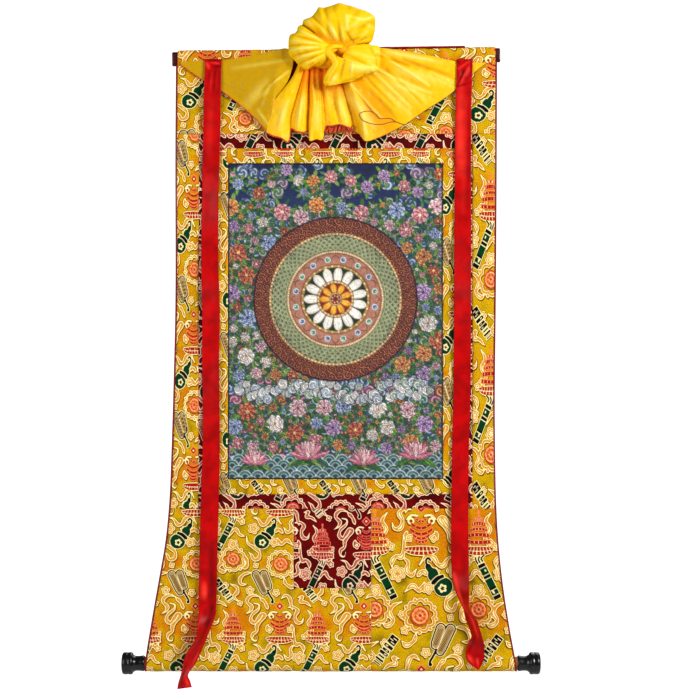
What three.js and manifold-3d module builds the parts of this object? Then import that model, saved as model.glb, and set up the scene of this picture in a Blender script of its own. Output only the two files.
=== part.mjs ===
// A thangka scroll: a picture in brocade borders, hung from a wooden batten, with a roller and two
// turned knobs at its foot, two red ribbons, and a silk cover gathered up into a rosette at the top.
// Millimetres. +X is right, +Z is up, the face looks along -Y and the wall is the plane y = 0.
// The origin is the point of the wall behind the middle of the top edge.
import * as THREE from "three";
import { mergeVertices } from "three/addons/utils/BufferGeometryUtils.js";
import Module from "manifold-3d";

// ---- driving dimensions ----

const GAP = 0.3; // clearance between two pieces that touch
const CLOTH = 1.6; // a lined brocade panel
const SILK = 1.2; // the ribbons, the tie and the silk cover

const PICTURE = { left: -151.2, right: 148.8, top: 160.4, bottom: 601.4 };
const INNER_BORDER = 21;
const OUTER_BORDER = 20;
const DOOR = { left: -59.5, right: 48.5, depth: 110.5 };
const BINDING = 2.2;

const BATTEN = { left: -230, right: 229.5, height: 20, depth: 8, fromWall: 6.8, bevel: 1.5 };
const BATTEN_SLOPE = 0.0125; // the batten hangs a little lower at its left end
const SLEEVE_FLAP = 19; // how far the top panel comes down behind the batten

const ROLLER = { left: -267.6, right: 253, radius: 9.3, fromWall: 15.7, drop: 859 };
const POCKET_LEAN = THREE.MathUtils.degToRad(26); // the pocket's flap leans forward to the panel
const POCKET_FLAP = 38.5;

// The outer edges of the cloth at distances down from the top edge.
const CLOTH_EDGE = table(["drop", "left", "right"], [
  [-30, -224.3, 224.9],
  [0, -224.3, 224.9],
  [156, -225, 224.2],
  [352, -225, 222.8],
  [491, -227.8, 221.4],
  [575, -230.2, 221.8],
  [631, -232.6, 222.8],
  [686, -237.8, 225.6],
  [742, -247.3, 231.2],
  [798, -257.1, 239.5],
  [854, -266, 249.5],
  [872, -267, 252],
  [904, -266, 249.5],
  [942, -260, 243],
]);

// Ribbons: x and drop of their middle line, how far they turn about it, and how far they stand out.
const RIBBON_WIDTH = 24;
const RIBBON_COLUMNS = ["drop", "x", "width", "turn", "out"];
const RIBBON_LEFT = table(RIBBON_COLUMNS, [
  [15.3, -171.5, 1, 0, 5.7],
  [33, -172, 0.96, 0, 7],
  [53, -172.6, 1, 0, 7.7],
  [78, -173.2, 1, 0, 7.2],
  [110, -173.6, 1, 4, 4.6],
  [212, -176.2, 1, -6, 4.2],
  [300, -176.6, 1, 5, 4.4],
  [368, -174.8, 1.03, 4, 4],
  [435, -175.2, 1, -5, 4.2],
  [547, -174.2, 1, 4, 4.4],
  [620, -175.8, 1.04, -4, 4.2],
  [700, -177.8, 1.04, 5, 4.6],
  [770, -179, 1.04, 8, 6],
  [792, -181.8, 1.04, 14, 8],
  [815, -189.6, 1, 24, 10.5],
  [837, -197, 1, 41, 13],
  [858, -205, 1, 52, 14.5],
  [872, -209.7, 1, 62, 15],
  [890, -211, 1, 44, 14.5],
]);
const RIBBON_RIGHT = table(RIBBON_COLUMNS, [
  [15.3, 179.2, 0.96, 0, 5.7],
  [33, 178.8, 0.92, 0, 7],
  [53, 178.2, 0.92, 0, 7.7],
  [78, 177.4, 0.92, 0, 7.2],
  [110, 177, 0.94, -4, 4.6],
  [212, 176.7, 0.97, 5, 4.2],
  [301, 176.2, 1, 5, 4.2],
  [413, 175.8, 1, -5, 4.4],
  [502, 174.6, 1, 4, 4.2],
  [570, 172.8, 0.98, 5, 4.2],
  [660, 171.8, 1, -5, 4.6],
  [725, 172, 1, -14, 7],
  [748, 173, 0.96, -38, 12],
  [770, 174.6, 0.9, -66, 15],
  [792, 180, 0.86, -66, 15],
  [815, 189, 0.9, -54, 14.5],
  [837, 192.6, 0.96, -22, 11],
  [854, 193.4, 0.56, -24, 10],
  [865, 195.4, 0.14, -20, 9.5],
]);

// The silk cover from its left corner to its right one, a row for each fold line that runs down it:
// the x, drop and stand-off of the line's upper end and of its end at the hem, and how far it
// bellies out between them.
const COVER_FOLDS = table(["topX", "topDrop", "topOut", "hemX", "hemDrop", "hemOut", "belly"], [
  [-218, 18.1, 1.7, -218, 22.4, 1.7, 0],
  [-184.6, 17.4, 3.6, -184.6, 44.6, 3.8, 0],
  [-158.1, 16.7, 4, -158.1, 62.8, 4.2, 0],
  [-134.3, 13.9, 6, -134.3, 82.3, 5, 1.5],
  [-112, 9.8, 8, -112, 101.8, 6, 3],
  [-89.7, 5.6, 10, -93.5, 117.2, 8, 3],
  [-72, 2.8, 12, -77.5, 126.9, 10, 2],
  [-62, 11.2, 13, -66.6, 133.2, 14, 1],
  [-55, 20, 9, -62, 120.5, 7, 0],
  [-48, 23, 11, -50.6, 118.6, 7.5, 0],
  [-41, 24.5, 9, -40, 118.6, 7, 0],
  [-34.5, 26, 14, -35.3, 131.1, 15, 2],
  [-25.5, 27, 15, -16.8, 129.7, 14, 1],
  [-19, 28, 10, -11.8, 120, 7, 0],
  [-11.6, 28, 12, 5.2, 111.6, 9, 1],
  [-3.2, 30, 13, 21.4, 115.8, 10.5, 1],
  [5.2, 34, 10, 30.6, 120, 7, 0],
  [14.9, 38, 11, 36.4, 119.6, 8, 0],
  [22.5, 40, 16, 43.8, 131.1, 16, 2],
  [31.7, 40, 15, 55.4, 125.5, 13, 2],
  [41.4, 34, 14, 69.3, 120, 10, 2],
  [49.8, 25.1, 13, 84.7, 113, 8, 2],
  [56.8, 13.9, 12, 97.2, 107.4, 7, 3],
  [63.8, 3.4, 12, 114, 96.3, 6, 3],
  [88.9, 4.8, 9, 130.7, 83.7, 5, 3],
  [116.8, 9.8, 7, 148.8, 69.8, 5, 1.5],
  [144.7, 15.3, 5, 164, 57.5, 4.2, 0],
  [167, 18.3, 4, 180.9, 44.6, 4, 0],
  [192.1, 16.9, 3.6, 197.7, 29, 3.6, 0],
  [210.2, 15.3, 1.7, 210.2, 19.6, 1.7, 0],
]);
// The slit in the cover beside the rosette, corner by corner as x and drop.
const COVER_SLIT = table(["x", "drop"], [
  [-59.7, 24.5],
  [-54.5, 27.5],
  [-66.5, 48.5],
  [-85.5, 73.5],
  [-87.5, 71.5],
  [-72.5, 49],
]);
const TIE = table(["x", "drop"], [
  [-73, 16],
  [-44, 20],
  [-58, 60],
  [-92, 82],
]);

// The rosette is a ring of loops of the cover's silk, each a teardrop seen from its side, gathered
// to a knot. Angles are in degrees from +X towards +Z; lift is the loop's stand-off, loft is half
// of its thickness, lean is how far its rim comes forward, and pleats is its number of ridges.
const ROSETTE = { x: 9.3, drop: 4.2, eye: 4 };
const GATHER = { x: 1, drop: 23, out: 17, halfWidth: 42, halfHeight: 24, halfDepth: 10 };
const LOOPS = table(["angle", "spread", "reach", "lift", "loft", "lean", "pleats", "ridge"], [
  [78, 38, 61, 30, 15, -2, 1, 3],
  [118, 24, 66, 35, 12, -4, 2, 3],
  [143, 18, 69, 30, 11, -2, 2, 3],
  [163, 15, 73, 36, 10, -4, 3, 2.5],
  [184, 16, 75, 31, 9, -6, 3, 2.5],
  [207, 18, 66, 36, 9, -4, 3, 2.5],
  [28, 20, 57, 37, 11, -5, 1, 2.5],
  [345, 28, 53, 32, 11, -3, 1, 3],
  [303, 30, 48, 39, 9, -4, 2, 2.5],
  [252, 24, 50, 34, 9, -3, 2, 2.5],
]);

// Knobs, turned on the roller's axis: distance out from the end of the cloth, and radius.
const KNOB = table(["out", "radius"], [
  [0, 0],
  [0, 10.6],
  [2, 11],
  [8, 10.2],
  [14, 10.4],
  [16, 11.6],
  [16.6, 14.2],
  [18, 15.4],
  [28, 15.4],
  [30.4, 14],
  [31.4, 10],
  [32, 0],
]);

// ---- small tools ----

// Rows of numbers with a name for each column.
function table(columns, rows) {
  return rows.map((row) => Object.fromEntries(columns.map((name, i) => [name, row[i]])));
}

// A function of a place that runs smoothly through the rows of a table. The place is the value in
// the first column, or the row's number where the rows have none that rises.
function smooth(rows, key) {
  const at = rows.map((row, i) => (key ? row[key] : i));
  const names = Object.keys(rows[0]);
  const slope = (name, i) => {
    const a = Math.max(i - 1, 0);
    const b = Math.min(i + 1, rows.length - 1);
    return (rows[b][name] - rows[a][name]) / (at[b] - at[a]);
  };
  return (place) => {
    const p = THREE.MathUtils.clamp(place, at[0], at[at.length - 1]);
    const i = Math.max(0, Math.min(at.findIndex((a) => a > p) - 1, rows.length - 2));
    const k = p >= at[at.length - 1] ? rows.length - 2 : i;
    const span = at[k + 1] - at[k];
    const t = (p - at[k]) / span;
    const hermite = (name) =>
      (1 + 2 * t) * (1 - t) ** 2 * rows[k][name] +
      t * (1 - t) ** 2 * span * slope(name, k) +
      t * t * (3 - 2 * t) * rows[k + 1][name] +
      t * t * (t - 1) * span * slope(name, k + 1);
    return Object.fromEntries(names.map((name) => [name, hermite(name)]));
  };
}

function steps(from, to, count) {
  return Array.from({ length: count + 1 }, (_, i) => from + ((to - from) * i) / count);
}

// A closed sheet of even thickness about a surface that is a function of two numbers. The first
// number runs to the right and the second down, as its face is seen, so that the face looks out.
function sheet(surface, us, vs, thickness) {
  const across = us.length;
  const count = across * vs.length;
  const du = (us[us.length - 1] - us[0]) * 1e-3;
  const dv = (vs[vs.length - 1] - vs[0]) * 1e-3;
  const points = [];
  const behind = [];
  for (const v of vs)
    for (const u of us) {
      const right = surface(u + du, v).sub(surface(u - du, v));
      const down = surface(u, v + dv).sub(surface(u, v - dv));
      const half = down.cross(right).setLength(thickness / 2);
      const middle = surface(u, v);
      points.push(...middle.clone().add(half).toArray());
      behind.push(...middle.sub(half).toArray());
    }
  const faces = [];
  for (let j = 0; j < vs.length - 1; j++)
    for (let i = 0; i < across - 1; i++) {
      const a = j * across + i;
      const [b, c, d] = [a + 1, a + across + 1, a + across];
      faces.push(a, d, c, a, c, b);
      faces.push(a + count, b + count, c + count, a + count, c + count, d + count);
    }
  const last = vs.length - 1;
  const rim = [
    ...us.map((_, i) => i),
    ...vs.slice(1).map((_, j) => (j + 1) * across + across - 1),
    ...us.slice(1).map((_, i) => last * across + across - 2 - i),
    ...vs.slice(1).map((_, j) => (last - 1 - j) * across),
  ];
  for (let k = 0; k < rim.length - 1; k++) {
    const [a, b] = [rim[k], rim[k + 1]];
    faces.push(a, b, b + count, a, b + count, a + count);
  }
  const geometry = new THREE.BufferGeometry();
  geometry.setAttribute("position", new THREE.Float32BufferAttribute([...points, ...behind], 3));
  geometry.setIndex(faces);
  return geometry;
}

// ---- how the cloth hangs ----

const BATTEN_TURN = BATTEN.depth / 2 + GAP + CLOTH / 2; // radius of the cloth over the batten
const ROLLER_TURN = ROLLER.radius + GAP + CLOTH / 2; // and under the roller
const TOP_FRONT = BATTEN.fromWall + BATTEN_TURN; // distance of the cloth's middle from the wall
const FOOT_FRONT = ROLLER.fromWall + ROLLER_TURN;
const FALL = ROLLER.drop - BATTEN_TURN; // the part that hangs straight
const SLEEVE_BACK = BATTEN_TURN * (1 - Math.PI);
const ROLLER_ARC = ROLLER_TURN * (Math.PI + POCKET_LEAN);
const clothEdge = smooth(CLOTH_EDGE, "drop");
const ease = THREE.MathUtils.smoothstep;

// How far the straight fall stands out from the wall, with its slow waves, which die out at the
// batten and at the roller.
function frontOf(x, drop) {
  const fall = TOP_FRONT + ((FOOT_FRONT - TOP_FRONT) * (drop - BATTEN_TURN)) / FALL;
  const free = ease(drop, 30, 220) * (1 - ease(drop, 690, 840));
  const side = ease(Math.abs(x), 150, 235);
  const broad = 1.8 * Math.sin(x / 61 + drop / 330 + 0.7);
  const edge = 2.4 * side * Math.sin(drop / 88 + x / 40);
  return fall + free * (broad + edge);
}

// The middle of the cloth at a distance down its face: negative over and behind the batten, and
// past the roller's drop it runs under the roller and up behind it.
function clothAt(x, drop) {
  const lift = BATTEN_SLOPE * x * (1 - ease(drop, 20, 115));
  if (drop < SLEEVE_BACK) {
    const back = BATTEN.fromWall - BATTEN_TURN;
    return new THREE.Vector3(x, -back, -BATTEN_TURN - (SLEEVE_BACK - drop) + lift);
  }
  if (drop < BATTEN_TURN) {
    const turn = (BATTEN_TURN - drop) / BATTEN_TURN;
    const out = BATTEN.fromWall + BATTEN_TURN * Math.cos(turn);
    return new THREE.Vector3(x, -out, -BATTEN_TURN + BATTEN_TURN * Math.sin(turn) + lift);
  }
  if (drop < ROLLER.drop) return new THREE.Vector3(x, -frontOf(x, drop), -drop + lift);
  const run = Math.min(drop - ROLLER.drop, ROLLER_ARC);
  const turn = run / ROLLER_TURN;
  const flap = drop - ROLLER.drop - run;
  const y = -ROLLER.fromWall - ROLLER_TURN * Math.cos(turn) - flap * Math.sin(POCKET_LEAN);
  const z = -ROLLER.drop - ROLLER_TURN * Math.sin(turn) + flap * Math.cos(POCKET_LEAN);
  return new THREE.Vector3(x, y, z);
}

// A point that stands out from the hanging cloth by a given amount, as all that hangs before it.
function before(x, drop, out) {
  return new THREE.Vector3(x, -frontOf(x, drop) - out, -drop);
}

// ---- brocade panels and borders ----

// A four-sided piece with straight edges, its corners clockwise from the top left as [x, drop],
// cut back by half of the gap all round.
function cutPiece(corners, columns, rows) {
  const edges = corners.map(([x, drop], i) => {
    const [nextX, nextDrop] = corners[(i + 1) % 4];
    const [dx, dd] = [nextX - x, nextDrop - drop];
    const inset = GAP / 2 / Math.hypot(dx, dd);
    return { x: x - dd * inset, drop: drop + dx * inset, dx, dd };
  });
  const [a, b, c, d] = edges.map((edge, i) => {
    const last = edges[(i + 3) % 4];
    const cross = last.dx * edge.dd - last.dd * edge.dx;
    const t = ((edge.x - last.x) * edge.dd - (edge.drop - last.drop) * edge.dx) / cross;
    return [last.x + last.dx * t, last.drop + last.dd * t];
  });
  const mix = (p, q, t) => [p[0] + (q[0] - p[0]) * t, p[1] + (q[1] - p[1]) * t];
  const surface = (u, v) => clothAt(...mix(mix(a, b, u), mix(d, c, u), v));
  return sheet(surface, steps(0, 1, columns), steps(0, 1, rows), CLOTH);
}

// A piece between two edges that may curve, over the given distances down the cloth.
function widePiece(left, right, drops, columns) {
  const surface = (u, drop) => {
    const from = left(drop) + GAP / 2;
    return clothAt(from + (right(drop) - GAP / 2 - from) * u, drop);
  };
  return sheet(surface, steps(0, 1, columns), drops, CLOTH);
}

// The four strips of a mitred border round a rectangle.
function border(inside, width) {
  const { left, right, top, bottom } = inside;
  const [l, r, t, b] = [left - width, right + width, top - width, bottom + width];
  return {
    top: cutPiece([[l, t], [r, t], [right, top], [left, top]], 14, 1),
    bottom: cutPiece([[left, bottom], [right, bottom], [r, b], [l, b]], 14, 1),
    left: cutPiece([[l, t], [left, top], [left, bottom], [l, b]], 1, 18),
    right: cutPiece([[right, top], [r, t], [r, b], [right, bottom]], 1, 18),
  };
}

function grow(box, by) {
  return { left: box.left - by, right: box.right + by, top: box.top - by, bottom: box.bottom + by };
}

const innerFrame = grow(PICTURE, INNER_BORDER);
const outerFrame = grow(innerFrame, OUTER_BORDER);
const bound = { left: (drop) => clothEdge(drop).left + BINDING, right: (drop) => clothEdge(drop).right - BINDING };
const at = (x) => () => x;
const FOOT_END = ROLLER.drop + ROLLER_ARC + POCKET_FLAP;
const footRows = [
  ...steps(ROLLER.drop, ROLLER.drop + ROLLER_ARC, 9).slice(1),
  ...steps(ROLLER.drop + ROLLER_ARC, FOOT_END, 2).slice(1),
];

function topPanel() {
  const drops = [
    ...steps(SLEEVE_BACK - SLEEVE_FLAP, SLEEVE_BACK, 1),
    ...steps(SLEEVE_BACK, BATTEN_TURN, 6).slice(1),
    ...steps(BATTEN_TURN, outerFrame.top - GAP / 2, 6).slice(1),
  ];
  return widePiece(bound.left, bound.right, drops, 18);
}

function sidePanels() {
  const drops = steps(outerFrame.top + GAP / 2, outerFrame.bottom - GAP / 2, 20);
  return {
    left: widePiece(bound.left, at(outerFrame.left), drops, 2),
    right: widePiece(at(outerFrame.right), bound.right, drops, 2),
  };
}

function lowerPanels() {
  const from = outerFrame.bottom + GAP / 2;
  const doorFoot = outerFrame.bottom + DOOR.depth;
  const drops = [...steps(from, ROLLER.drop, 10), ...footRows];
  const middle = [...steps(doorFoot + GAP / 2, ROLLER.drop, 5), ...footRows];
  return {
    left: widePiece(bound.left, at(DOOR.left), drops, 8),
    centre: widePiece(at(DOOR.left), at(DOOR.right), middle, 5),
    right: widePiece(at(DOOR.right), bound.right, drops, 8),
  };
}

function door() {
  const [top, foot] = [outerFrame.bottom, outerFrame.bottom + DOOR.depth];
  const { left, right } = DOOR;
  return cutPiece([[left, top], [right, top], [right, foot], [left, foot]], 5, 5);
}

// A narrow dark red binding on each side edge, from below the batten to under the roller.
function bindings() {
  const drops = [...steps(BATTEN.height, ROLLER.drop, 32), ...steps(ROLLER.drop, ROLLER.drop + 14, 3).slice(1)];
  const strip = (edge, side) => {
    const surface = (u, drop) => clothAt(edge(drop) + side + (u - 0.5) * (BINDING - GAP), drop);
    return sheet(surface, [0, 1], drops, CLOTH);
  };
  return {
    left: strip((drop) => clothEdge(drop).left, BINDING / 2),
    right: strip((drop) => clothEdge(drop).right, -BINDING / 2),
  };
}

// ---- wood ----

// Turns a shape's plane to the Y and Z axes, so that what is extruded from it runs along X.
const ALONG_X = new THREE.Matrix4().makeBasis(
  new THREE.Vector3(0, 1, 0),
  new THREE.Vector3(0, 0, 1),
  new THREE.Vector3(1, 0, 0),
);

function batten() {
  const r = BATTEN.depth / 2;
  const straight = BATTEN.height / 2 - r;
  const outline = new THREE.Shape();
  outline.absarc(0, straight, r, 0, Math.PI, false);
  outline.absarc(0, -straight, r, Math.PI, 2 * Math.PI, false);
  const geometry = new THREE.ExtrudeGeometry(outline, {
    depth: BATTEN.right - BATTEN.left - 2 * BATTEN.bevel,
    curveSegments: 8,
    bevelSize: BATTEN.bevel,
    bevelOffset: -BATTEN.bevel,
    bevelThickness: BATTEN.bevel,
    bevelSegments: 2,
  });
  geometry.translate(0, 0, BATTEN.left + BATTEN.bevel);
  return geometry.applyMatrix4(ALONG_X);
}

function roller() {
  const geometry = new THREE.CylinderGeometry(ROLLER.radius, ROLLER.radius, ROLLER.right - ROLLER.left, 28);
  geometry.rotateZ(Math.PI / 2);
  return geometry.translate((ROLLER.left + ROLLER.right) / 2, 0, 0);
}

// side is -1 for the left knob and 1 for the right one.
function knob(side) {
  const profile = KNOB.map((row) => new THREE.Vector2(row.radius, row.out));
  const geometry = new THREE.LatheGeometry(profile, 28);
  geometry.rotateZ((-side * Math.PI) / 2);
  const end = side < 0 ? ROLLER.left - GAP : ROLLER.right + GAP;
  return geometry.translate(end, 0, 0);
}

// ---- tape, ribbons and tie ----

// A dark red tape over the crest of the sleeve, from behind it to a little way down its face.
function hangingTape() {
  const radius = BATTEN_TURN + CLOTH + GAP;
  const [from, to] = [-50, 180];
  const surface = (x, turn) => {
    const out = BATTEN.fromWall + radius * Math.cos(turn);
    const z = -BATTEN_TURN + radius * Math.sin(turn) + BATTEN_SLOPE * x;
    return new THREE.Vector3(x, -out, z);
  };
  return sheet(surface, steps(from, to, 8), steps(0.85 * Math.PI, 0.23 * Math.PI, 6), CLOTH);
}

function ribbon(rows) {
  const at = smooth(rows, "drop");
  const surface = (u, drop) => {
    const { x, width, turn, out } = at(drop);
    const angle = THREE.MathUtils.degToRad(turn);
    const reach = (u - 0.5) * RIBBON_WIDTH * width;
    return before(x, drop, out).add(new THREE.Vector3(reach * Math.cos(angle), reach * Math.sin(angle), 0));
  };
  const drops = steps(rows[0].drop, rows[rows.length - 1].drop, 44);
  return sheet(surface, [0, 0.5, 1], drops, SILK);
}

function tie() {
  const [a, b, c, d] = TIE;
  const mix = THREE.MathUtils.lerp;
  const surface = (u, v) => {
    const x = mix(mix(a.x, b.x, u), mix(d.x, c.x, u), v);
    const drop = mix(mix(a.drop, b.drop, u), mix(d.drop, c.drop, u), v);
    return before(x, drop, CLOTH / 2 + GAP + SILK / 2 + 0.4);
  };
  return sheet(surface, steps(0, 1, 2), steps(0, 1, 4), SILK);
}

// ---- the silk cover ----

const wasm = await Module();
wasm.setup();

function solid(geometry) {
  const bare = geometry.index ? geometry.toNonIndexed() : geometry.clone();
  bare.deleteAttribute("normal");
  bare.deleteAttribute("uv");
  const merged = mergeVertices(bare, 1e-4);
  const mesh = new wasm.Mesh({
    numProp: 3,
    vertProperties: merged.attributes.position.array,
    triVerts: new Uint32Array(merged.index.array),
  });
  return new wasm.Manifold(mesh);
}

function geometryOf(manifold) {
  const mesh = manifold.getMesh();
  const geometry = new THREE.BufferGeometry();
  geometry.setAttribute("position", new THREE.BufferAttribute(mesh.vertProperties, 3));
  geometry.setIndex(new THREE.BufferAttribute(mesh.triVerts, 1));
  return geometry;
}

// The hanging sheet of the cover, from corner to corner.
function coverSheet() {
  const fold = smooth(COVER_FOLDS);
  const mix = THREE.MathUtils.lerp;
  const surface = (u, v) => {
    const f = fold(u);
    const out = mix(f.topOut, f.hemOut, v) + f.belly * Math.sin(Math.PI * v);
    return before(mix(f.topX, f.hemX, v), mix(f.topDrop, f.hemDrop, v), out);
  };
  const last = COVER_FOLDS.length - 1;
  return sheet(surface, steps(0, last, last * 2), steps(0, 1, 7), SILK);
}

// One loop of the rosette. Seen from its side it is a teardrop, sin(t) out from the knot and
// sin(2t) to the front and then to the back, open at its sides and cut off before it gets back to
// the knot. Across, it fans out by its spread, in ridges that grow towards the rim.
function loop(row) {
  const centre = before(ROSETTE.x, ROSETTE.drop, 0);
  const [start, end] = [0.025 * Math.PI, 0.78 * Math.PI];
  const surface = (u, t) => {
    const away = Math.sin(t);
    const fan = row.spread * (0.55 + 0.45 * away);
    const angle = THREE.MathUtils.degToRad(row.angle + u * fan);
    const reach = ROSETTE.eye + (row.reach - ROSETTE.eye) * away * (1 - 0.05 * u * u);
    const ridges = row.ridge * away * Math.cos(row.pleats * Math.PI * u);
    const out = row.lift + row.loft * Math.sin(2 * t) + row.lean * away + ridges;
    const spoke = new THREE.Vector3(Math.cos(angle), 0, Math.sin(angle)).multiplyScalar(reach);
    return centre.clone().add(spoke).add(new THREE.Vector3(0, -out, 0));
  };
  return sheet(surface, steps(-1, 1, 2 + 2 * row.pleats), steps(start, end, 9), SILK + 0.2);
}

// The bunched silk behind the loops, which carries them and the hanging sheet.
function gather() {
  const geometry = new THREE.SphereGeometry(1, 18, 10);
  geometry.scale(GATHER.halfWidth, GATHER.halfDepth, GATHER.halfHeight);
  const place = before(GATHER.x, GATHER.drop, GATHER.out);
  return geometry.translate(place.x, place.y, place.z);
}

function knot() {
  const geometry = new THREE.SphereGeometry(1, 12, 8);
  geometry.scale(10.5, 22, 10.5);
  const place = before(ROSETTE.x, ROSETTE.drop, 27);
  return geometry.translate(place.x, place.y, place.z);
}

function slit() {
  const outline = new THREE.Shape(COVER_SLIT.map((row) => new THREE.Vector2(row.x, -row.drop)));
  const geometry = new THREE.ExtrudeGeometry(outline, { depth: 30, bevelEnabled: false });
  const facing = new THREE.Matrix4().makeBasis(
    new THREE.Vector3(1, 0, 0),
    new THREE.Vector3(0, 0, 1),
    new THREE.Vector3(0, -1, 0),
  );
  return geometry.applyMatrix4(facing).translate(0, -BATTEN.fromWall, 0);
}

function silkCover() {
  const hanging = solid(coverSheet()).subtract(solid(slit()));
  const pieces = [gather(), knot(), ...LOOPS.map(loop)];
  return geometryOf(pieces.reduce((whole, piece) => whole.add(solid(piece)), hanging));
}

// ---- the whole scroll ----

const FINISH = {
  picture: { color: "#4a5570", roughness: 0.8 },
  yellowBrocade: { color: "#d9a81c", roughness: 0.55 },
  redBrocade: { color: "#7d0c16", roughness: 0.6 },
  redBinding: { color: "#8c1030", roughness: 0.6 },
  redTape: { color: "#6e0a10", roughness: 0.7 },
  redSatin: { color: "#cc0808", roughness: 0.4 },
  yellowSilk: { color: "#ffd21a", roughness: 0.5 },
  paintedWood: { color: "#5c0d14", roughness: 0.45 },
  plainWood: { color: "#a8814f", roughness: 0.7 },
  blackWood: { color: "#0b0b0d", roughness: 0.35 },
};

const scroll = new THREE.Group();

function add(name, geometry, finish, parent = scroll) {
  const mesh = new THREE.Mesh(geometry, new THREE.MeshStandardMaterial({ metalness: 0, ...FINISH[finish] }));
  mesh.name = name;
  parent.add(mesh);
  return mesh;
}

function addSet(prefix, set, finish) {
  for (const [place, geometry] of Object.entries(set)) add(`${prefix}_${place}`, geometry, finish);
}

const { left, right, top, bottom } = PICTURE;
add("picture", cutPiece([[left, top], [right, top], [right, bottom], [left, bottom]], 12, 16), "picture");
addSet("inner_border", border(PICTURE, INNER_BORDER), "yellowBrocade");
addSet("outer_border", border(innerFrame, OUTER_BORDER), "redBrocade");
add("top_panel", topPanel(), "yellowBrocade");
addSet("side_panel", sidePanels(), "yellowBrocade");
addSet("lower_panel", lowerPanels(), "yellowBrocade");
add("door_panel", door(), "redBrocade");
addSet("binding", bindings(), "redBinding");
add("hanging_tape", hangingTape(), "redTape");
add("tie_tail", tie(), "redTape");
add("ribbon_left", ribbon(RIBBON_LEFT), "redSatin");
add("ribbon_right", ribbon(RIBBON_RIGHT), "redSatin");
add("silk_cover", silkCover(), "yellowSilk");

const head = new THREE.Group();
head.position.set(0, -BATTEN.fromWall, -BATTEN.height / 2 - (BATTEN_TURN - BATTEN.depth / 2));
head.rotation.y = -Math.atan(BATTEN_SLOPE);
add("batten", batten(), "paintedWood", head);

const foot = new THREE.Group();
foot.position.set(0, -ROLLER.fromWall, -ROLLER.drop);
add("roller", roller(), "plainWood", foot);
add("knob_left", knob(-1), "blackWood", foot);
add("knob_right", knob(1), "blackWood", foot);
scroll.add(head, foot);

export default scroll;
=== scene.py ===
"""A thangka scroll: a picture in brocade borders on a batten and a roller, with two ribbons and a
silk cover gathered into a rosette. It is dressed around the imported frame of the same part.

Tables and shapes are in millimetres, x to the right and drop down from the top edge; meshes are in
metres. The face looks along -Y and the wall is the plane y = 0.
"""

import math

import bpy
import numpy as np
from bpy.props import FloatProperty, FloatVectorProperty, PointerProperty
from bpy.types import Operator, Panel, PropertyGroup
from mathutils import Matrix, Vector

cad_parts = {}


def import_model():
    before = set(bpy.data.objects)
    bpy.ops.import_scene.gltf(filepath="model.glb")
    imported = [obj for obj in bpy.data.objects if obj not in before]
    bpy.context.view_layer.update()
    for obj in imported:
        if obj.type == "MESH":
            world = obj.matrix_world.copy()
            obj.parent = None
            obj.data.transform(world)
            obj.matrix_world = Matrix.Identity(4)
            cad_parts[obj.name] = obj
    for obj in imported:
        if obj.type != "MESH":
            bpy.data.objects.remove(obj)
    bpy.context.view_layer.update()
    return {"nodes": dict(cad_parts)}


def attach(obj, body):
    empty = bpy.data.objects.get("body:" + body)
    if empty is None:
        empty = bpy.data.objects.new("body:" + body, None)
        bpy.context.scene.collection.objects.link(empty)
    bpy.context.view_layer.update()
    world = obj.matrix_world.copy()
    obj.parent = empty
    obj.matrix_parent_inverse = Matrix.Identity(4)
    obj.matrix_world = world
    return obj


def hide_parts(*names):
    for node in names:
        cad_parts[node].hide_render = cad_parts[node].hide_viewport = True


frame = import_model()

bl_info = {
    "name": "Thangka scroll",
    "version": (1, 0, 0),
    "blender": (4, 5, 0),
    "location": "3D View > Sidebar > Scroll",
    "description": "Dresses the frame of a hanging scroll in brocade, silk, satin and wood",
    "category": "Add Mesh",
}

MM = 0.001

# ---- how the cloth is cut and hangs, in millimetres ----

PICTURE = (-151.2, 148.8, 160.4, 601.4)  # left, right, top, bottom
PICTURE_WIDE, PICTURE_HIGH = 300, 441
INNER_BORDER = 21
OUTER_BORDER = 20
DOOR = (-59.5, 48.5, 110.5)  # left, right, depth
BINDING = 2.2
SEAM = 0.1  # between two panels that are sewn together
PANEL = 1.6  # thickness of a lined panel in the frame
SILK = 1.2  # thickness of ribbon and cover in the frame
RIBBON = 0.8  # thickness of the ribbons as made
SINK, SINK_REACH = 0.5, 1.1  # how deep a sewn edge sinks, and how far from the edge
BACK_STEP = 8  # steps of a panel's face to one of its back
CORD_SIDES, KNOB_SIDES = 6, 96
BALL_COLUMNS, BALL_ROWS = 72, 40

BATTEN_WALL, BATTEN_DEPTH = 6.8, 8
BATTEN_SLOPE = 0.0125
SLEEVE_FLAP = 19
ROLLER_WALL, ROLLER_RADIUS, ROLLER_DROP = 15.7, 9.3, 859
ROLLER_ENDS = (-267.6, 253)
POCKET_LEAN = math.radians(26)
POCKET_FLAP = 38.5
TOP_JOIN = 5  # where the two widths of the top panel's brocade meet
BINDING_SPAN = (20, ROLLER_DROP + 14)  # from drop to drop
TAPE_SPAN = (-50, 180)
PLAY = 0.3  # air between a cloth and what it goes round
BATTEN_TURN = BATTEN_DEPTH / 2 + PLAY + PANEL / 2
ROLLER_TURN = ROLLER_RADIUS + PLAY + PANEL / 2
TOP_FRONT = BATTEN_WALL + BATTEN_TURN
FOOT_FRONT = ROLLER_WALL + ROLLER_TURN
SLEEVE_BACK = BATTEN_TURN * (1 - math.pi)
ROLLER_ARC = ROLLER_TURN * (math.pi + POCKET_LEAN)

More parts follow.
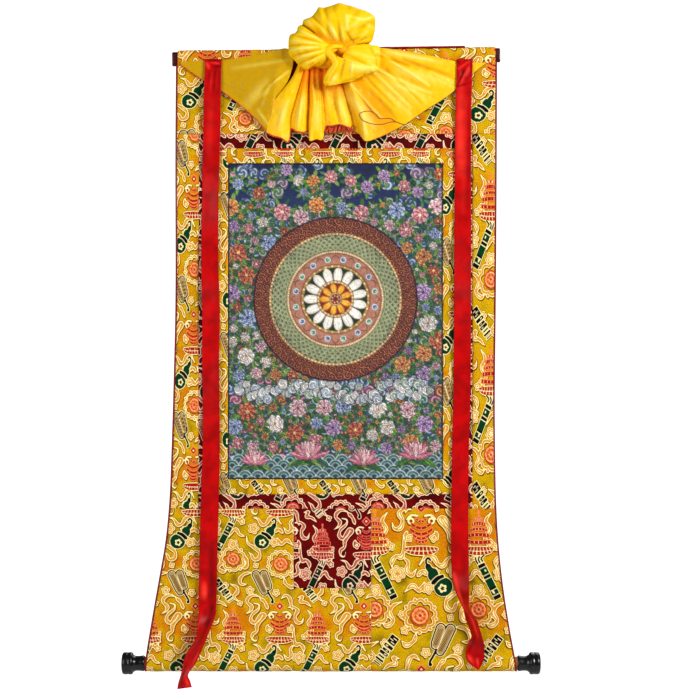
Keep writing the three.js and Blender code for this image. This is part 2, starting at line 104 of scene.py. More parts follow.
CLOTH_EDGE = [  # drop, left, right
    (-30, -224.3, 224.9), (0, -224.3, 224.9), (156, -225, 224.2), (352, -225, 222.8),
    (491, -227.8, 221.4), (575, -230.2, 221.8), (631, -232.6, 222.8), (686, -237.8, 225.6),
    (742, -247.3, 231.2), (798, -257.1, 239.5), (854, -266, 249.5), (872, -267, 252),
    (904, -266, 249.5), (942, -260, 243),
]
RIBBON_LEFT = [  # drop, x, width, turn, out
    (15.3, -171.5, 1, 0, 5.7), (33, -172, 0.96, 0, 7), (53, -172.6, 1, 0, 7.7),
    (78, -173.2, 1, 0, 7.2), (110, -173.6, 1, 4, 4.6), (212, -176.2, 1, -6, 4.2),
    (300, -176.6, 1, 5, 4.4), (368, -174.8, 1.03, 4, 4), (435, -175.2, 1, -5, 4.2),
    (547, -174.2, 1, 4, 4.4), (620, -175.8, 1.04, -4, 4.2), (700, -177.8, 1.04, 5, 4.6),
    (770, -179, 1.04, 8, 6), (787, -179.6, 1, 8, 7.5), (801, -181.7, 1, 36, 10.5),
    (815, -185, 1, 52, 12.5), (827, -190, 1, 50, 13), (841, -197.8, 1, 38, 12),
    (852, -202, 1, 42, 12.5), (860, -205, 1, 54, 13.5), (869, -209.3, 1, 67, 14.5),
    (875, -211, 1, 67, 14.5), (882, -210.6, 1, 52, 13), (890, -210.2, 1, 40, 12),
]
RIBBON_RIGHT = [
    (15.3, 179.2, 0.96, 0, 5.7), (33, 178.8, 0.92, 0, 7), (53, 178.2, 0.92, 0, 7.7),
    (78, 177.4, 0.92, 0, 7.2), (110, 177, 0.94, -4, 4.6), (212, 176.7, 0.97, 5, 4.2),
    (301, 176.2, 1, 5, 4.2), (413, 175.8, 1, -5, 4.4), (502, 174.6, 1, 4, 4.2),
    (570, 172.8, 0.98, 5, 4.2), (660, 171.8, 1, -5, 4.6), (714, 172, 1.03, -8, 6),
    (732, 172.7, 1, -15, 8), (750, 173.8, 1, -32, 11), (768, 177, 0.96, -56, 14),
    (781, 180.4, 0.9, -70, 15), (790, 184.6, 0.9, -57, 14.5), (796, 187.4, 0.94, -50, 14),
    (805, 190.8, 0.94, -53, 13.5), (816, 194.3, 0.94, -54, 13.5), (821, 195, 0.96, -52, 13),
    (830, 193.9, 1, -26, 10), (838, 192.9, 1.06, -8, 7.5), (848, 192.7, 1.08, -8, 7),
    (856, 193.6, 0.8, -8, 7), (861, 195.4, 0.42, -8, 7), (865, 197.2, 0.08, -8, 7),
]
RIBBONS = (("left", RIBBON_LEFT, 22), ("right", RIBBON_RIGHT, 53))  # and where the doubled top ends
RIBBON_ROWS, RIBBON_COLUMNS = 521, 21
# How the satin takes the light: from across, drop to across, drop on the ribbon, then the width of
# the crest and its strength; a shaded dent is below 0.
GLEAMS = {
    "left": [
        (-12, 16, 12, 16, 2.2, -0.9), (-3, 20, 9, 22, 1.1, 1), (-10, 20, -6, 28, 2.6, 0.9),
        (-1, 26, 11, 25, 2.4, -0.8), (3.5, 30, 2, 62, 1.6, -0.7), (9.5, 32, 9, 58, 1.8, -0.6),
        (-5, 32, -6, 50, 1.6, -0.4), (-2, 34, -3, 60, 1.5, 0.3), (-2, 74, -3, 150, 5, 0.25),
        (-5, 748, -4, 764, 4.5, 1.1), (5, 690, 6, 780, 5, -0.9), (7, 780, -2, 836, 5, -0.9),
        (-3, 782, -8, 806, 3, -0.4), (8, 842, 6, 858, 2, 0.6), (-6, 856, -6, 888, 3, -0.9),
        (5, 878, 6, 888, 3, 0.8),
    ],
    "right": [
        (-9, 29, 5, 19, 1.3, 0.9), (-7, 51, 5, 28, 1.4, 0.9), (-11, 53, -1, 33, 2.2, -0.9),
        (-12, 17, -8, 21, 2.5, -0.8), (3, 38, 9, 24, 3, 0.4), (9, 18, 9.5, 40, 1.5, -0.5),
        (1, 30, -5, 36, 1.4, -0.6), (2, 47, 9, 33, 1.6, -0.5), (-11, 54, 11, 48, 0.9, -0.8),
        (-5, 58, -5, 175, 6, 0.75), (3, 70, 0, 230, 4, 0.25), (9, 80, 9, 200, 2.5, -0.3),
        (6, 700, 7, 745, 5, -0.6), (-9, 733, -5, 781, 3.5, 1), (3, 788, 3, 817, 3, 0.9),
        (-7, 783, -8, 803, 2.5, -0.9), (-5, 822, -8, 842, 2.2, -0.9), (-8, 846, -5, 855, 3, 0.9),
        (3, 851, 4, 860, 2.2, 1), (10, 826, 11, 841, 3, -0.5),
    ],
}
# The cover's silk, fold by fold from left to right: points of each fold from its top to its hem, as
# x, drop and distance out from the hanging cloth.
WING_FOLDS = [
    [(-218, 18, 1.7), (-218, 22, 1.7)],
    [(-185, 17, 3.6), (-185, 45, 3.8)],
    [(-158, 17, 4), (-158, 61, 4.2)],
    [(-134, 13, 6), (-133, 47, 7), (-133, 80, 5)],
    [(-112, 9, 8), (-112, 50, 9), (-113, 98, 6)],
    [(-90, 5, 10), (-95, 47, 11), (-102, 110, 7)],
    [(-73, 1, 12), (-83, 42, 12), (-95, 116, 6.5)],
    [(-62, 3, 13), (-60, 22, 12), (-67, 45, 9), (-82, 70, 5.5), (-83, 92, 3.5), (-83, 119, 3.5)],
]
SKIRT_FOLDS = [
    [(-52, 14, 10), (-54, 25, 10), (-64, 45, 10), (-85, 72, 8), (-92, 89, 7.2), (-98, 118, 8)],
    [(-50, 14, 14), (-51, 28, 14), (-61, 50, 14), (-77, 75, 13), (-83, 98, 12), (-88, 123, 12)],
    [(-48, 14, 12), (-50, 28, 12), (-58, 53, 12), (-69, 81, 13), (-74, 103, 14), (-77, 126, 14)],
    [(-45, 14, 11), (-46, 29, 10), (-53, 54, 10), (-62, 81, 9), (-65, 100, 8), (-67, 131, 9)],
    [(-44, 14, 8), (-44, 29, 8), (-51, 54, 8), (-58, 80, 7), (-63, 98, 6), (-63, 113, 5.5)],
    [(-42, 14, 12), (-42, 31, 12), (-47, 56, 14), (-51, 78, 14), (-53, 98, 14), (-55, 117, 13)],
    [(-39, 14, 11), (-39, 31, 10), (-42, 56, 12), (-44, 78, 13), (-45, 98, 13), (-46, 118, 12)],
    [(-37, 14, 6), (-37, 32, 6), (-38, 56, 6), (-38, 78, 6), (-39, 98, 5.5), (-39, 116, 5)],
    [(-34, 14, 12), (-34, 31, 12), (-34, 56, 14), (-33, 78, 15), (-35, 100, 15), (-37, 130, 13)],
    [(-30, 14, 9), (-30, 31, 9), (-28, 56, 12), (-27, 78, 14), (-27, 100, 14), (-28, 128, 13)],
    [(-26, 14, 12), (-26, 31, 12), (-24, 56, 13), (-22, 78, 14), (-21, 100, 13), (-19, 128, 12)],
    [(-21, 14, 7), (-21, 31, 7), (-20, 56, 8), (-18, 78, 8), (-16, 96, 7), (-15, 110, 6)],
    [(-16, 17, 11), (-16, 36, 11), (-14, 59, 11), (-12, 78, 11), (-9, 95, 11), (-6, 109, 10)],
    [(-7, 20, 10), (-7, 42, 10), (-5, 61, 9), (-3, 77, 9), (1, 93, 11), (4, 107, 11)],
    [(1, 22, 12), (1, 45, 12), (4, 63, 13), (7, 81, 13), (10, 95, 13), (14, 110, 12)],
    [(8, 25, 8), (8, 50, 8), (11, 64, 7), (16, 81, 6), (21, 96, 5.5), (24, 114, 5)],
]
SIDE_FOLDS = [
    [(2, 25, 7), (5, 47, 6), (9, 64, 5), (14, 82, 4.5), (19, 98, 4), (26, 116, 4)],
    [(8, 25, 9), (12, 49, 9), (17, 66, 8.5), (23, 84, 8), (27, 100, 8), (33, 121, 8)],
    [(12, 25, 16), (18, 50, 17), (26, 68, 17.5), (32, 86, 17), (37, 106, 17), (41, 131, 16)],
    [(19, 22, 13), (25, 47, 14), (36, 66, 14.5), (46, 84, 14), (53, 100, 13), (58, 126, 13)],
    [(26, 20, 13), (32, 45, 13), (46, 63, 13), (60, 81, 13), (71, 96, 12), (77, 117, 11)],
    [(32, 17, 15), (37, 39, 15), (55, 59, 15), (72, 77, 15), (85, 92, 14), (96, 107, 12)],
    [(36, 14, 13), (43, 33, 13), (64, 52, 13), (83, 70, 13), (99, 84, 12), (114, 94, 10)],
    [(40, 11, 14), (48, 27, 15), (72, 43, 15), (94, 60, 14), (114, 74, 12), (129, 84, 10)],
    [(43, 8, 12), (53, 20, 13), (79, 35, 13), (104, 50, 12), (127, 63, 10), (145, 74, 8)],
    [(46, 6, 13), (57, 13, 14), (85, 25, 14), (114, 40, 12), (139, 52, 9), (159, 64, 6.5)],
    [(47, 3, 11), (60, 8, 12), (90, 17, 12), (122, 29, 10), (150, 39, 7), (181, 45, 4.2)],
    [(48, 0, 11), (61, 3, 12), (94, 9, 11), (131, 18, 8), (164, 26, 5), (198, 29, 3.6)],
    [(48, -2, 9), (62, 0, 10), (96, 4, 8), (134, 11, 6), (167, 18, 4), (210, 20, 1.7)],
]
# The rosette's puffs, fold by fold: x, drop and out of the fold's foot at the knot, the same of its
# rim, and how far it puffs out between them.
CROWN = [
    (-23, -10, 19, -47, -31, 20, 6), (-20, -9, 21, -45, -37, 22, 9),
    (-17, -8, 22, -38, -40, 24, 12), (-14, -6, 22, -32, -43, 24, 13),
    (-12, -5, 22, -28, -49, 24, 15), (-9, -4, 22, -24, -54, 25, 16),
    (-6, -3, 23, -16, -53, 25, 16), (-3, -2, 23, -5, -57, 26, 18), (1, -1, 23, 5, -59, 26, 19),
    (5, 0, 23, 18, -57, 27, 19), (9, 1, 23, 33, -52, 27, 18), (14, 0, 23, 44, -48, 26, 16),
    (16, -1, 23, 53, -41, 25, 13), (19, -1, 23, 54, -31, 23, 12), (21, -2, 22, 53, -22, 21, 11),
    (23, -2, 22, 50, -10, 18, 9), (25, -1, 21, 44, -6, 16, 6),
]
FAN = [
    (-20, -10, 21, -48, -30, 20, 7), (-17, -8, 23, -53, -28, 20, 9),
    (-13, -6, 26, -55, -21, 20, 11), (-9, -4, 27, -61, -18, 20, 12),
    (-5, -2, 28, -65, -14, 20, 12), (0, -1, 28, -66, -7, 20, 13), (2, 1, 29, -66, 1, 20, 13),
    (4, 2, 29, -65, 11, 20, 13), (4, 4, 29, -56, 21, 20, 12), (2, 6, 29, -47, 29, 19, 12),
    (0, 7, 28, -40, 31, 19, 12), (-2, 8, 28, -31, 26, 18, 11), (-4, 10, 27, -23, 28, 18, 10),
    (-5, 12, 26, -13, 22, 17, 8),
]
PETAL = [
    (15, 1, 27, 43, -4, 17, 5), (15, 3, 28, 50, -2, 18, 5), (15, 4, 28, 59, -1, 18, 5),
    (14, 5, 29, 61, 10, 18, 6), (14, 6, 29, 60, 24, 20, 6), (12, 8, 30, 56, 33, 24, 5),
    (11, 10, 30, 41, 33, 26, 4), (9, 13, 30, 27, 29, 28, 3), (8, 15, 30, 14, 24, 28, 2),
]
TONGUE = [
    [(1, 15, 36), (-5, 31, 37), (-11, 43, 31), (-16, 55, 25)],
    [(8, 18, 38), (4, 31, 37), (1, 42, 33), (-3, 54, 26)],
    [(19, 21, 39), (17, 31, 38), (14, 40, 34), (10, 51, 26)],
    [(32, 25, 37), (30, 32, 36), (29, 38, 33), (23, 48, 25)],
    [(44, 29, 33), (44, 32, 33), (41, 36, 31), (37, 41, 26)],
    [(55, 32, 28), (55, 33, 28), (55, 33, 28), (55, 34, 28)],
]
# Each part's folds, its points across and along them, and how much painted shade darkens it
# (the left wing lies in shade), or its small waves.
COVER_PARTS = ((WING_FOLDS, 144, 112, 0.9), (SKIRT_FOLDS, 256, 96, 0), (SIDE_FOLDS, 160, 112, 0))
ROSETTE_PARTS = ((CROWN, 152, 92, 13), (FAN, 152, 84, 17), (PETAL, 96, 64, 5))
# A puff's stations: share of the way out from the knot, share of its height, and out.
PUFF = ((0, 0, 0), (0.28, 0.72, 0), (0.6, 1, 0), (0.86, 0.74, 0), (1, 0, 0), (0.9, -0.55, -8),
        (0.6, -0.7, -12))
# x, drop, out and half width along the twisted roll below the knot
TWIST = [
    (14, 3, 30, 1.8), (4, 1, 34, 3.4), (-5, 2, 36, 4.4), (-11, 6, 37, 5.2), (-10, 11, 38, 5.6),
    (-4, 18, 39.5, 5.2), (-1, 27, 40, 5.4), (-7, 37, 38, 5.6), (-12, 45, 34, 5.4),
    (-14, 53, 27, 4.2),
]
# The bunched silk inside: x, drop and out of its middle, its half sizes, and how lumpy it is.
STUFFING = (
    ((0.5, -14, 17), (40, 13, 33), 0.03),
    ((-6, 18, 13), (37, 7, 12), 0.05),
    ((9, 5, 24), (8, 9, 7), 0.06),
)
# Creases of the silk: from x, drop to x, drop, then width and depth; a ridge has a depth below 0.
# They press the silk in or out and also paint it: shade along a crease, a pale highlight along a
# ridge.
CREASES = [
    (14, -40, 15, -20, 2.4, -2), (15, -40, 37, -34, 2.2, -1.6), (16, -18, 37, -33, 2, 1.6),
    (37, -34, 53, -41, 2.2, -1.8), (16, -16, 51, -33, 2.6, 1.6), (15, -17, 22, -6, 2.2, 2.4),
    (2, -6, -9, -28, 2.2, -1.8), (-2, -7, -13, -24, 1.6, 1.5), (7, -3, 2, -32, 2.2, 1.4),
    (11, -3, 7, -25, 1.8, -1.4), (-10, -8, -26, -31, 2, -1.4), (-14, -10, -34, -28, 2, 1.6),
    (-23, -14, -46, -30, 2.2, 2.6), (-33, -41, -20, -25, 2.2, 1.8), (-17, -52, -12, -36, 2.4, 1.4),
    (-42, -35, -28, -22, 2.2, -1.5), (26, -4, 44, -20, 2, -1.4), (22, -3, 50, -15, 2, 1.6),
    (19, -6, 33, -11, 1.8, 2.2), (-5, -56, 0, -39, 3, 1), (18, -56, 16, -42, 3, 0.9),
    (33, -50, 22, -36, 3, 1.2), (41, -28, 53, -24, 2.4, -1.2), (-51, -21, -20, -7, 2.2, -1.6),
    (-60, -15, -23, -4, 1.8, 1.6), (-63, -8, -26, -2, 2, -1.6), (-65, -1, -23, 1, 1.7, 1.5),
    (-64, 6, -26, 3, 2.2, -2), (-60, 14, -23, 6, 1.7, 1.5), (-55, 18, -20, 8, 2, -1.6),
    (-51, 24, -17, 11, 1.6, 1.5), (-45, 27, -16, 13, 1.8, -1.4), (-38, 28, -14, 15, 1.5, 1.5),
    (-30, 24, -13, 16, 1.6, -1.3), (-24, 25, -12, 18, 1.4, 1.4), (16, 8, 53, 17, 3.4, -0.9),
    (15, 13, 41, 25, 2.4, 0.8), (46, 1, 56, 17, 1.2, 1.5), (56, 17, 57, 28, 1.2, 1.5),
    (27, -7, 22, 0, 2, -1.5), (7, 18, 54, 32, 1.2, -1.5), (22, 25, 21, 43, 1.8, -1.3),
    (11, 22, 5, 45, 2.2, 1.8), (-3, 25, -9, 47, 1.6, 1.6), (29, 45, 5, 51, 1.4, 1.2),
    (20, 52, 61, 98, 1.8, -2.6), (39, 40, 79, 81, 2.6, 2), (50, 27, 89, 47, 2.2, -1.8),
    (89, 47, 131, 64, 2.6, -1.6), (57, 11, 100, 25, 2.6, 1.8), (58, 7, 128, 53, 2.4, -2),
    (69, 31, 118, 77, 2.6, 1.6), (47, 61, 83, 98, 3.2, 1.2), (50, 33, 103, 84, 2.4, -1.6),
    (94, 17, 159, 39, 3, 1.4), (67, 4, 145, 20, 3, -1.2), (82, 53, 106, 61, 3, -1.2),
    (131, 33, 161, 47, 2.6, -1.2), (27, 61, 50, 89, 1.6, 1.4), (36, 95, 41, 123, 2.2, -1.4),
    (-67, 33, -93, 52, 2.2, -1.2), (-73, 31, -104, 61, 2.4, 1), (-93, 52, -104, 78, 2.4, -0.9),
    (-91, 82, -94, 94, 1.6, 1.2), (-104, 90, -94, 94, 1.6, 1), (-65, 17, -145, 28, 3, -0.7),
    (-79, 25, -151, 42, 3, 0.6), (-98, 67, -120, 89, 2.4, 0.8), (-109, 86, -97, 106, 2.2, -0.9),
    (-98, 50, -123, 78, 7, -0.9), (18, -17, 34, -32, 5, -2.2), (-7, -22, -3, -8, 4.5, -1.5),
    (22, 31, 46, 33, 5, -2.4), (0, 42, -7, 50, 4, -2), (14, 64, 50, 109, 5.5, -1.8),
    (78, 42, 117, 73, 9, -1.6), (61, 59, 100, 89, 7, -1.2), (86, 31, 156, 50, 6, -1.2),
    (-46, 0, -23, -1, 4, -1), (-20, 31, -20, 70, 5, 1.6), (-48, 73, -55, 109, 4, -1.6),
    (-27, 78, -28, 114, 4, -1.6), (-70, 78, -80, 114, 4.5, -1.6), (5, 75, 14, 103, 5, -1.5),
    (72, 7, 131, 17, 4, -1.4),
]
HEM_LOOP = [
    (95, 107), (92, 107), (82, 103), (75, 99), (61, 99), (55, 93), (47, 89), (36, 91), (32, 95),
    (38, 103), (51, 107), (65, 107), (75, 104), (83, 104),
]
KNOB = [  # out along the roller, radius
    (0, 0), (0, 10.2), (0.6, 10.8), (2, 11), (5, 10.5), (8, 10.2), (12, 10.3), (13.4, 10.8),
    (14.2, 11.6), (15.4, 11.9), (15.9, 12.6), (16.2, 13.9), (17, 14.9), (18.2, 15.4), (20, 15.5),
    (22.4, 15.2), (22.9, 14.9), (23.4, 15.2), (26, 15.4), (28, 15.3), (29.6, 14.8), (30.4, 13.8),
    (31.1, 12), (31.5, 9.5), (31.8, 6), (32, 3), (32, 0),
]
TIE = [(-73, 16), (-44, 20), (-58, 60), (-92, 82)]

# ---- the camera, the floor and the light ----

VIEW_X, VIEW_Z = 0.0191, -0.4213  # where the camera points
HALF_VIEW, CLOTH_OUT = 0.48825, 0.02  # half the width it sees at the cloth, cloth from the wall
SENSOR = 36
FLOOR_HALF, FLOOR_DROP, FLOOR_THICK = 2600, 1500, 8  # in millimetres
LIGHT_AIM = (0, 0, -0.4)
LAMPS = (  # name, place, size in metres, power in watts
    ("key", (2.2, -2, 0.8), 1.2, 78),
    ("fill", (-2.1, -2, 0.1), 1.8, 34),
    ("rim", (0.9, 1.8, 1.2), 1.8, 20),
)
ROOM_LIGHT = 0.12

# ---- the brocade's repeat ----

UNIT = 1.395  # one drawing unit of the repeat, in millimetres
WIDE, TALL = 85, 129  # the repeat, in units
FINE = 4  # sample points to a unit
FAR = 4.0  # distances past this are all the same
INKS = ("cream", "coral", "crimson", "green", "dark", "husk", "rib", "light")
RAISED = ("cream", "green", "dark", "crimson")  # threads that stand out of the ground
GOLD_ZONE = 0.42  # the zone of the plain gold ground
# Where each panel's repeat has its gourd, and how it is stretched: x, drop, across, down.
LAYOUT = {
    "top_left": (-205.5, 72.5, 1, 1),
    "top_right": (197.7, 92.1, 1.1, 1),
    "side_left": (-218, 274.8, 0.75, 1.054),
    "side_right": (256.3, 288.8, 1, 1.357),
    "lower_left": (-103.6, 687.7, 0.99, 0.98),
    "lower_right": (149, 751.2, -1.22, 1.25),
    "door": (18.4, 748, 0.93, 1),
    "inner_left": (-151.1, 351.5, 0.75, 1.085),
    "inner_right": (152.3, 220.4, 0.75, 1.085),
    "inner_top": (-40, 180, 0.8, 0.8),
    "inner_bottom": (30, 560, 0.8, 0.8),
    "outer_top": (-66, 136, 1, 1),
    "outer_bottom": (-20, 618, 1, 1),
    "outer_side": (-182, 300, 0.8, 1),
}
# Woven ribbons that wander between the motifs, point by point in units from the gourd.
WANDERERS = [
    [(-2, 56.5), (-8, 54.8), (-13.5, 57.5), (-14.7, 62), (-10.4, 66.5), (-12, 71), (-16.5, 74)],
    [(-8, 63), (-3, 64.5), (-3.6, 69), (-9.6, 74.5), (-11.2, 80), (-7.4, 83), (-3.6, 78.5),
     (0, 73.6), (2.8, 75.6), (-1, 80.8), (-5, 86), (-5.4, 91.5), (-9.6, 95), (-9.4, 100),
     (-5.6, 101), (-4, 96.5)],
    [(36.4, 57), (41, 56.6), (39, 61), (44.4, 62.3), (49.7, 66.5)],
    [(26.4, 67.3), (32, 67), (36, 70.5), (33.4, 76), (35, 82), (40, 82.5), (42, 77.5)],
    [(32.6, 88), (32, 96), (34, 105), (38.4, 104.5), (42, 109), (41.6, 115)],
    [(-19, 104), (-22, 107.6), (-26, 106), (-29, 109)],
    [(19.4, 111.5), (14, 104.6), (8, 105.6), (4.4, 111), (0, 112), (-4, 106.4), (-9.6, 104.6)],
    [(-33.5, -4.2), (-30, -10), (-26, -12), (-22.6, -7), (-17.4, -5)],
    [(13, -9.2), (16.7, -12.4), (21.2, -8.4)],
    [(15.5, -3.8), (19.6, 3), (25, -1), (31.7, 4.3)],
    [(-15.5, -5), (-14, 2), (-8, 6), (-2.6, 11), (-3.2, 17), (-8, 18.6), (-10.4, 14), (-14, 10.6)],
    [(-19, 13), (-15, 20), (-16, 26), (-21, 27)],
    [(-9, 31.7), (-17, 33), (-22, 38), (-21, 43.5), (-15, 43.6)],
    [(22.3, 37), (24, 43), (30, 46.6), (34, 43)],
    [(53.3, 43.5), (60, 47), (60, 52), (56.5, 56), (62, 62)],
    [(19.6, 58.3), (24, 55), (28, 58), (29.6, 65), (31, 70)],
    [(-2, 57.5), (3, 62), (6, 69)],
    [(57.3, -25), (62, -28), (68, -26.7)],
    [(22, -14), (26, -9), (30, -13), (28.6, -19), (33, -24)],
    [(34, 12), (41, 15), (44, 21), (41, 27), (46, 31), (51, 28)],
    [(46, 70), (50, 76), (47, 83), (51, 90), (47, 96), (50, 102)],
    [(54, 12), (57, 18), (53, 23)],
]
BLOSSOMS = [  # x, y, radius, lobes
    (-8.5, -13, 6.2, 5), (12.6, 1, 5.4, 5), (37.6, -10.4, 7, 6), (56, 3, 5.8, 5),
    (-12, 50, 4.8, 5), (14.4, 52.4, 4.4, 5), (31.5, 34.5, 4, 5), (7.6, 90, 4, 4), (28.4, 90, 4, 4),
    (-38.6, 94, 3.8, 4), (-19.4, 94, 3.8, 4), (48, 45, 4, 5), (-6, 24.5, 3.4, 4), (6, 117.5, 4, 5),
    (-22, 63, 3.4, 4), (42.5, 97, 3.6, 4), (34, 22, 3.6, 5), (-20, -20, 3.8, 5),
]

# ---- settings ----


def linear(code):
    """An sRGB hex colour as linear red, green, blue and alpha: c/12.92 for a small share c of full,
    or else ((c + 0.055)/1.055) to the power 2.4."""
    shares = [int(code[i : i + 2], 16) / 255 for i in (1, 3, 5)]
    return [c / 12.92 if c <= 0.04045 else ((c + 0.055) / 1.055) ** 2.4 for c in shares] + [1.0]


def size_of(name, description, default):
    """A size in metres that can be set."""
    return FloatProperty(
        name=name, description=description, default=default, unit="LENGTH", precision=5
    )


def colour_of(name, description, code):
    """A colour that can be set, from its sRGB hex value."""
    return FloatVectorProperty(name=name, description=description, default=linear(code), size=4,
                               subtype="COLOR", min=0, max=1)


class ScrollSizes(PropertyGroup):
    """How fine the cloth is made, and how thick."""

    brocade_cell: size_of("Brocade cell", "Distance between the points of a brocade panel", 0.00125)
    picture_cell: size_of("Picture cell", "Distance between the points of the picture", 0.0012)
    ribbon_width: size_of("Ribbon width", "Width of the satin ribbons", 0.024)
    silk_sheet: size_of("Silk thickness", "Thickness of the silk", 0.0007)
    thread_relief: size_of("Thread relief", "How far the woven motifs stand out", 0.00016)
    camera_distance: size_of("Camera distance", "From the camera to the wall", 3.0)


class ScrollColours(PropertyGroup):
    """The colours of the cloths and woods."""

    gold_ground: colour_of("Gold ground", "The yellow brocade's ground", "#e4b500")
    olive_ground: colour_of("Olive ground", "The duller zones of the yellow ground", "#c4a200")
    amber_ground: colour_of("Amber ground", "The redder zones of the yellow ground", "#e28c00")
    red_ground: colour_of("Red ground", "The red brocade's ground", "#6e0002")
    cream_thread: colour_of("Cream thread", "The ribbons and flowers woven in cream", "#fff0ae")
    green_thread: colour_of("Green thread", "Gourds and bamboo", "#004020")
    dark_thread: colour_of("Dark thread", "Handles, bands and stripes", "#0e0810")
    coral_thread: colour_of("Coral thread", "Medallions and pagodas", "#f28c4c")
    satin: colour_of("Ribbon satin", "The two ribbons", "#c80408")
    silk: colour_of("Cover silk", "The cover and its rosette", "#ffcd00")
    # the colour of the painted orange shade in the silk's deep folds and about the rosette
    silk_fold: colour_of("Silk folds", "The silk deep in its folds", "#f07800")
    binding: colour_of("Binding", "The binding of the side edges", "#8e1226")
    lacquer: colour_of("Lacquer", "The knobs", "#0c0c0f")


# ---- numbers ----


def ease(value, low, high):
    """3t^2 - 2t^3 for t from 0 to 1 between low and high."""
    t = np.clip((np.asarray(value, float) - low) / (high - low), 0, 1)
    return t * t * (3 - 2 * t)


def through(at, rows):
    """A function that runs smoothly through rows of numbers at the places given: Hermite pieces
    whose slope at a row is that of the line from the row before it to the row after it."""
    at, rows = np.asarray(at, float), np.asarray(rows, float)
    last = len(at) - 1
    row = np.arange(last + 1)
    behind, ahead = np.maximum(row - 1, 0), np.minimum(row + 1, last)
    slope = (rows[ahead] - rows[behind]) / (at[ahead] - at[behind])[:, None]

    def value(place):
        """Both rows and both slopes of the piece that holds a place, by their cubic weights."""
        p = np.clip(np.asarray(place, float), at[0], at[-1])
        k = np.clip(np.searchsorted(at, p, side="right") - 1, 0, last - 1)
        span = (at[k + 1] - at[k])[..., None]
        t = (p[..., None] - at[k][..., None]) / span
        start = (1 + 2 * t) * (1 - t) ** 2 * rows[k] + t * (1 - t) ** 2 * span * slope[k]
        return start + t * t * (3 - 2 * t) * rows[k + 1] + t * t * (t - 1) * span * slope[k + 1]

    return value


def threaded(points, count):
    """That many points on a smooth line through points, an even share between each two."""
    last = len(points) - 1
    return through(np.arange(last + 1), points)(np.linspace(0, last, count))


GRAIN = np.random.default_rng(12).random((64, 64))


def drift(x, y, size, shift=0):
    """Smooth noise from -1 to 1: seeded random values on a square lattice of that size, blended
    between its four corners with eased weights. shift picks another stretch of the lattice."""
    u, v = np.broadcast_arrays(x / size + 7.37 * shift, y / size + 3.71 * shift)
    i, j = np.floor(u).astype(int), np.floor(v).astype(int)
    a, b = ease(u - i, 0, 1), ease(v - j, 0, 1)
    top = GRAIN[j % 64, i % 64] * (1 - a) + GRAIN[j % 64, (i + 1) % 64] * a
    low = GRAIN[(j + 1) % 64, i % 64] * (1 - a) + GRAIN[(j + 1) % 64, (i + 1) % 64] * a
    return 2 * (top * (1 - b) + low * b) - 1


# ---- how the cloth hangs ----

cloth_edge = through([row[0] for row in CLOTH_EDGE], [row[1:] for row in CLOTH_EDGE])


def front_of(x, drop):
    """Distance of the hanging cloth's middle from the wall: a straight fall from the batten's face
    to the roller's, plus a broad wave 1.8 sin(x/61 + drop/330 + 0.7) and, near the side edges,
    2.4 sin(drop/88 + x/40). Both die out at the batten and at the roller."""
    fall = TOP_FRONT + (FOOT_FRONT - TOP_FRONT) * (drop - BATTEN_TURN) / (ROLLER_DROP - BATTEN_TURN)
    free = ease(drop, 30, 220) * (1 - ease(drop, 690, 840))
    edge = 2.4 * ease(np.abs(x), 150, 235) * np.sin(drop / 88 + x / 40)
    return fall + free * (1.8 * np.sin(x / 61 + drop / 330 + 0.7) + edge)


def cloth_at(x, drop):
    """The cloth's middle at a distance down its face. It goes down behind the batten, over it on a
    half circle, straight down, round the roller on an arc, and up in a flap that leans forward."""
    x, drop = np.broadcast_arrays(np.asarray(x, float), np.asarray(drop, float))
    lift = BATTEN_SLOPE * x * (1 - ease(drop, 20, 115))
    y, z = -front_of(x, drop), -drop + lift
    turn = (BATTEN_TURN - drop) / BATTEN_TURN
    over, behind, under = drop < BATTEN_TURN, drop < SLEEVE_BACK, drop > ROLLER_DROP
    y = np.where(over, -BATTEN_WALL - BATTEN_TURN * np.cos(turn), y)
    z = np.where(over, -BATTEN_TURN + BATTEN_TURN * np.sin(turn) + lift, z)
    y = np.where(behind, -BATTEN_WALL + BATTEN_TURN, y)
    z = np.where(behind, -BATTEN_TURN - (SLEEVE_BACK - drop) + lift, z)
    run = np.clip(drop - ROLLER_DROP, 0, ROLLER_ARC)
    turn, flap = run / ROLLER_TURN, np.maximum(drop - ROLLER_DROP - ROLLER_ARC, 0)
    low_y = -ROLLER_WALL - ROLLER_TURN * np.cos(turn) - flap * math.sin(POCKET_LEAN)
    low_z = -ROLLER_DROP - ROLLER_TURN * np.sin(turn) + flap * math.cos(POCKET_LEAN)
    return np.stack([x, np.where(under, low_y, y), np.where(under, low_z, z)], -1)


def before(x, drop, out):
    """A point that stands out from the hanging cloth."""
    x, drop, out = np.broadcast_arrays(x, drop, out)
    return np.stack([x, -front_of(x, drop) - out, -drop], -1)


# ---- meshes ----


class Skin:
    """One closed surface in millimetres: points, four-sided faces with the number of the finish of
    each, three-sided faces, smooth or not, in the first finish, and layers, which are numbers for
    each point that finishes read."""

    def __init__(self, points, quads, tris, finish=0, layers=None, smooth=False):
        self.points, self.layers = points.reshape(-1, 3), layers or {}
        self.quads, self.tris = quads.reshape(-1, 4), tris.reshape(-1, 3)
        self.finish = np.broadcast_to(finish, len(self.quads))
        self.smooth = np.broadcast_to(smooth, len(self.tris))


def faces_of(number):
    """Four-sided faces of a grid of point numbers, turned to look along down x right."""
    return np.stack([number[:-1, :-1], number[1:, :-1], number[1:, 1:], number[:-1, 1:]], -1)


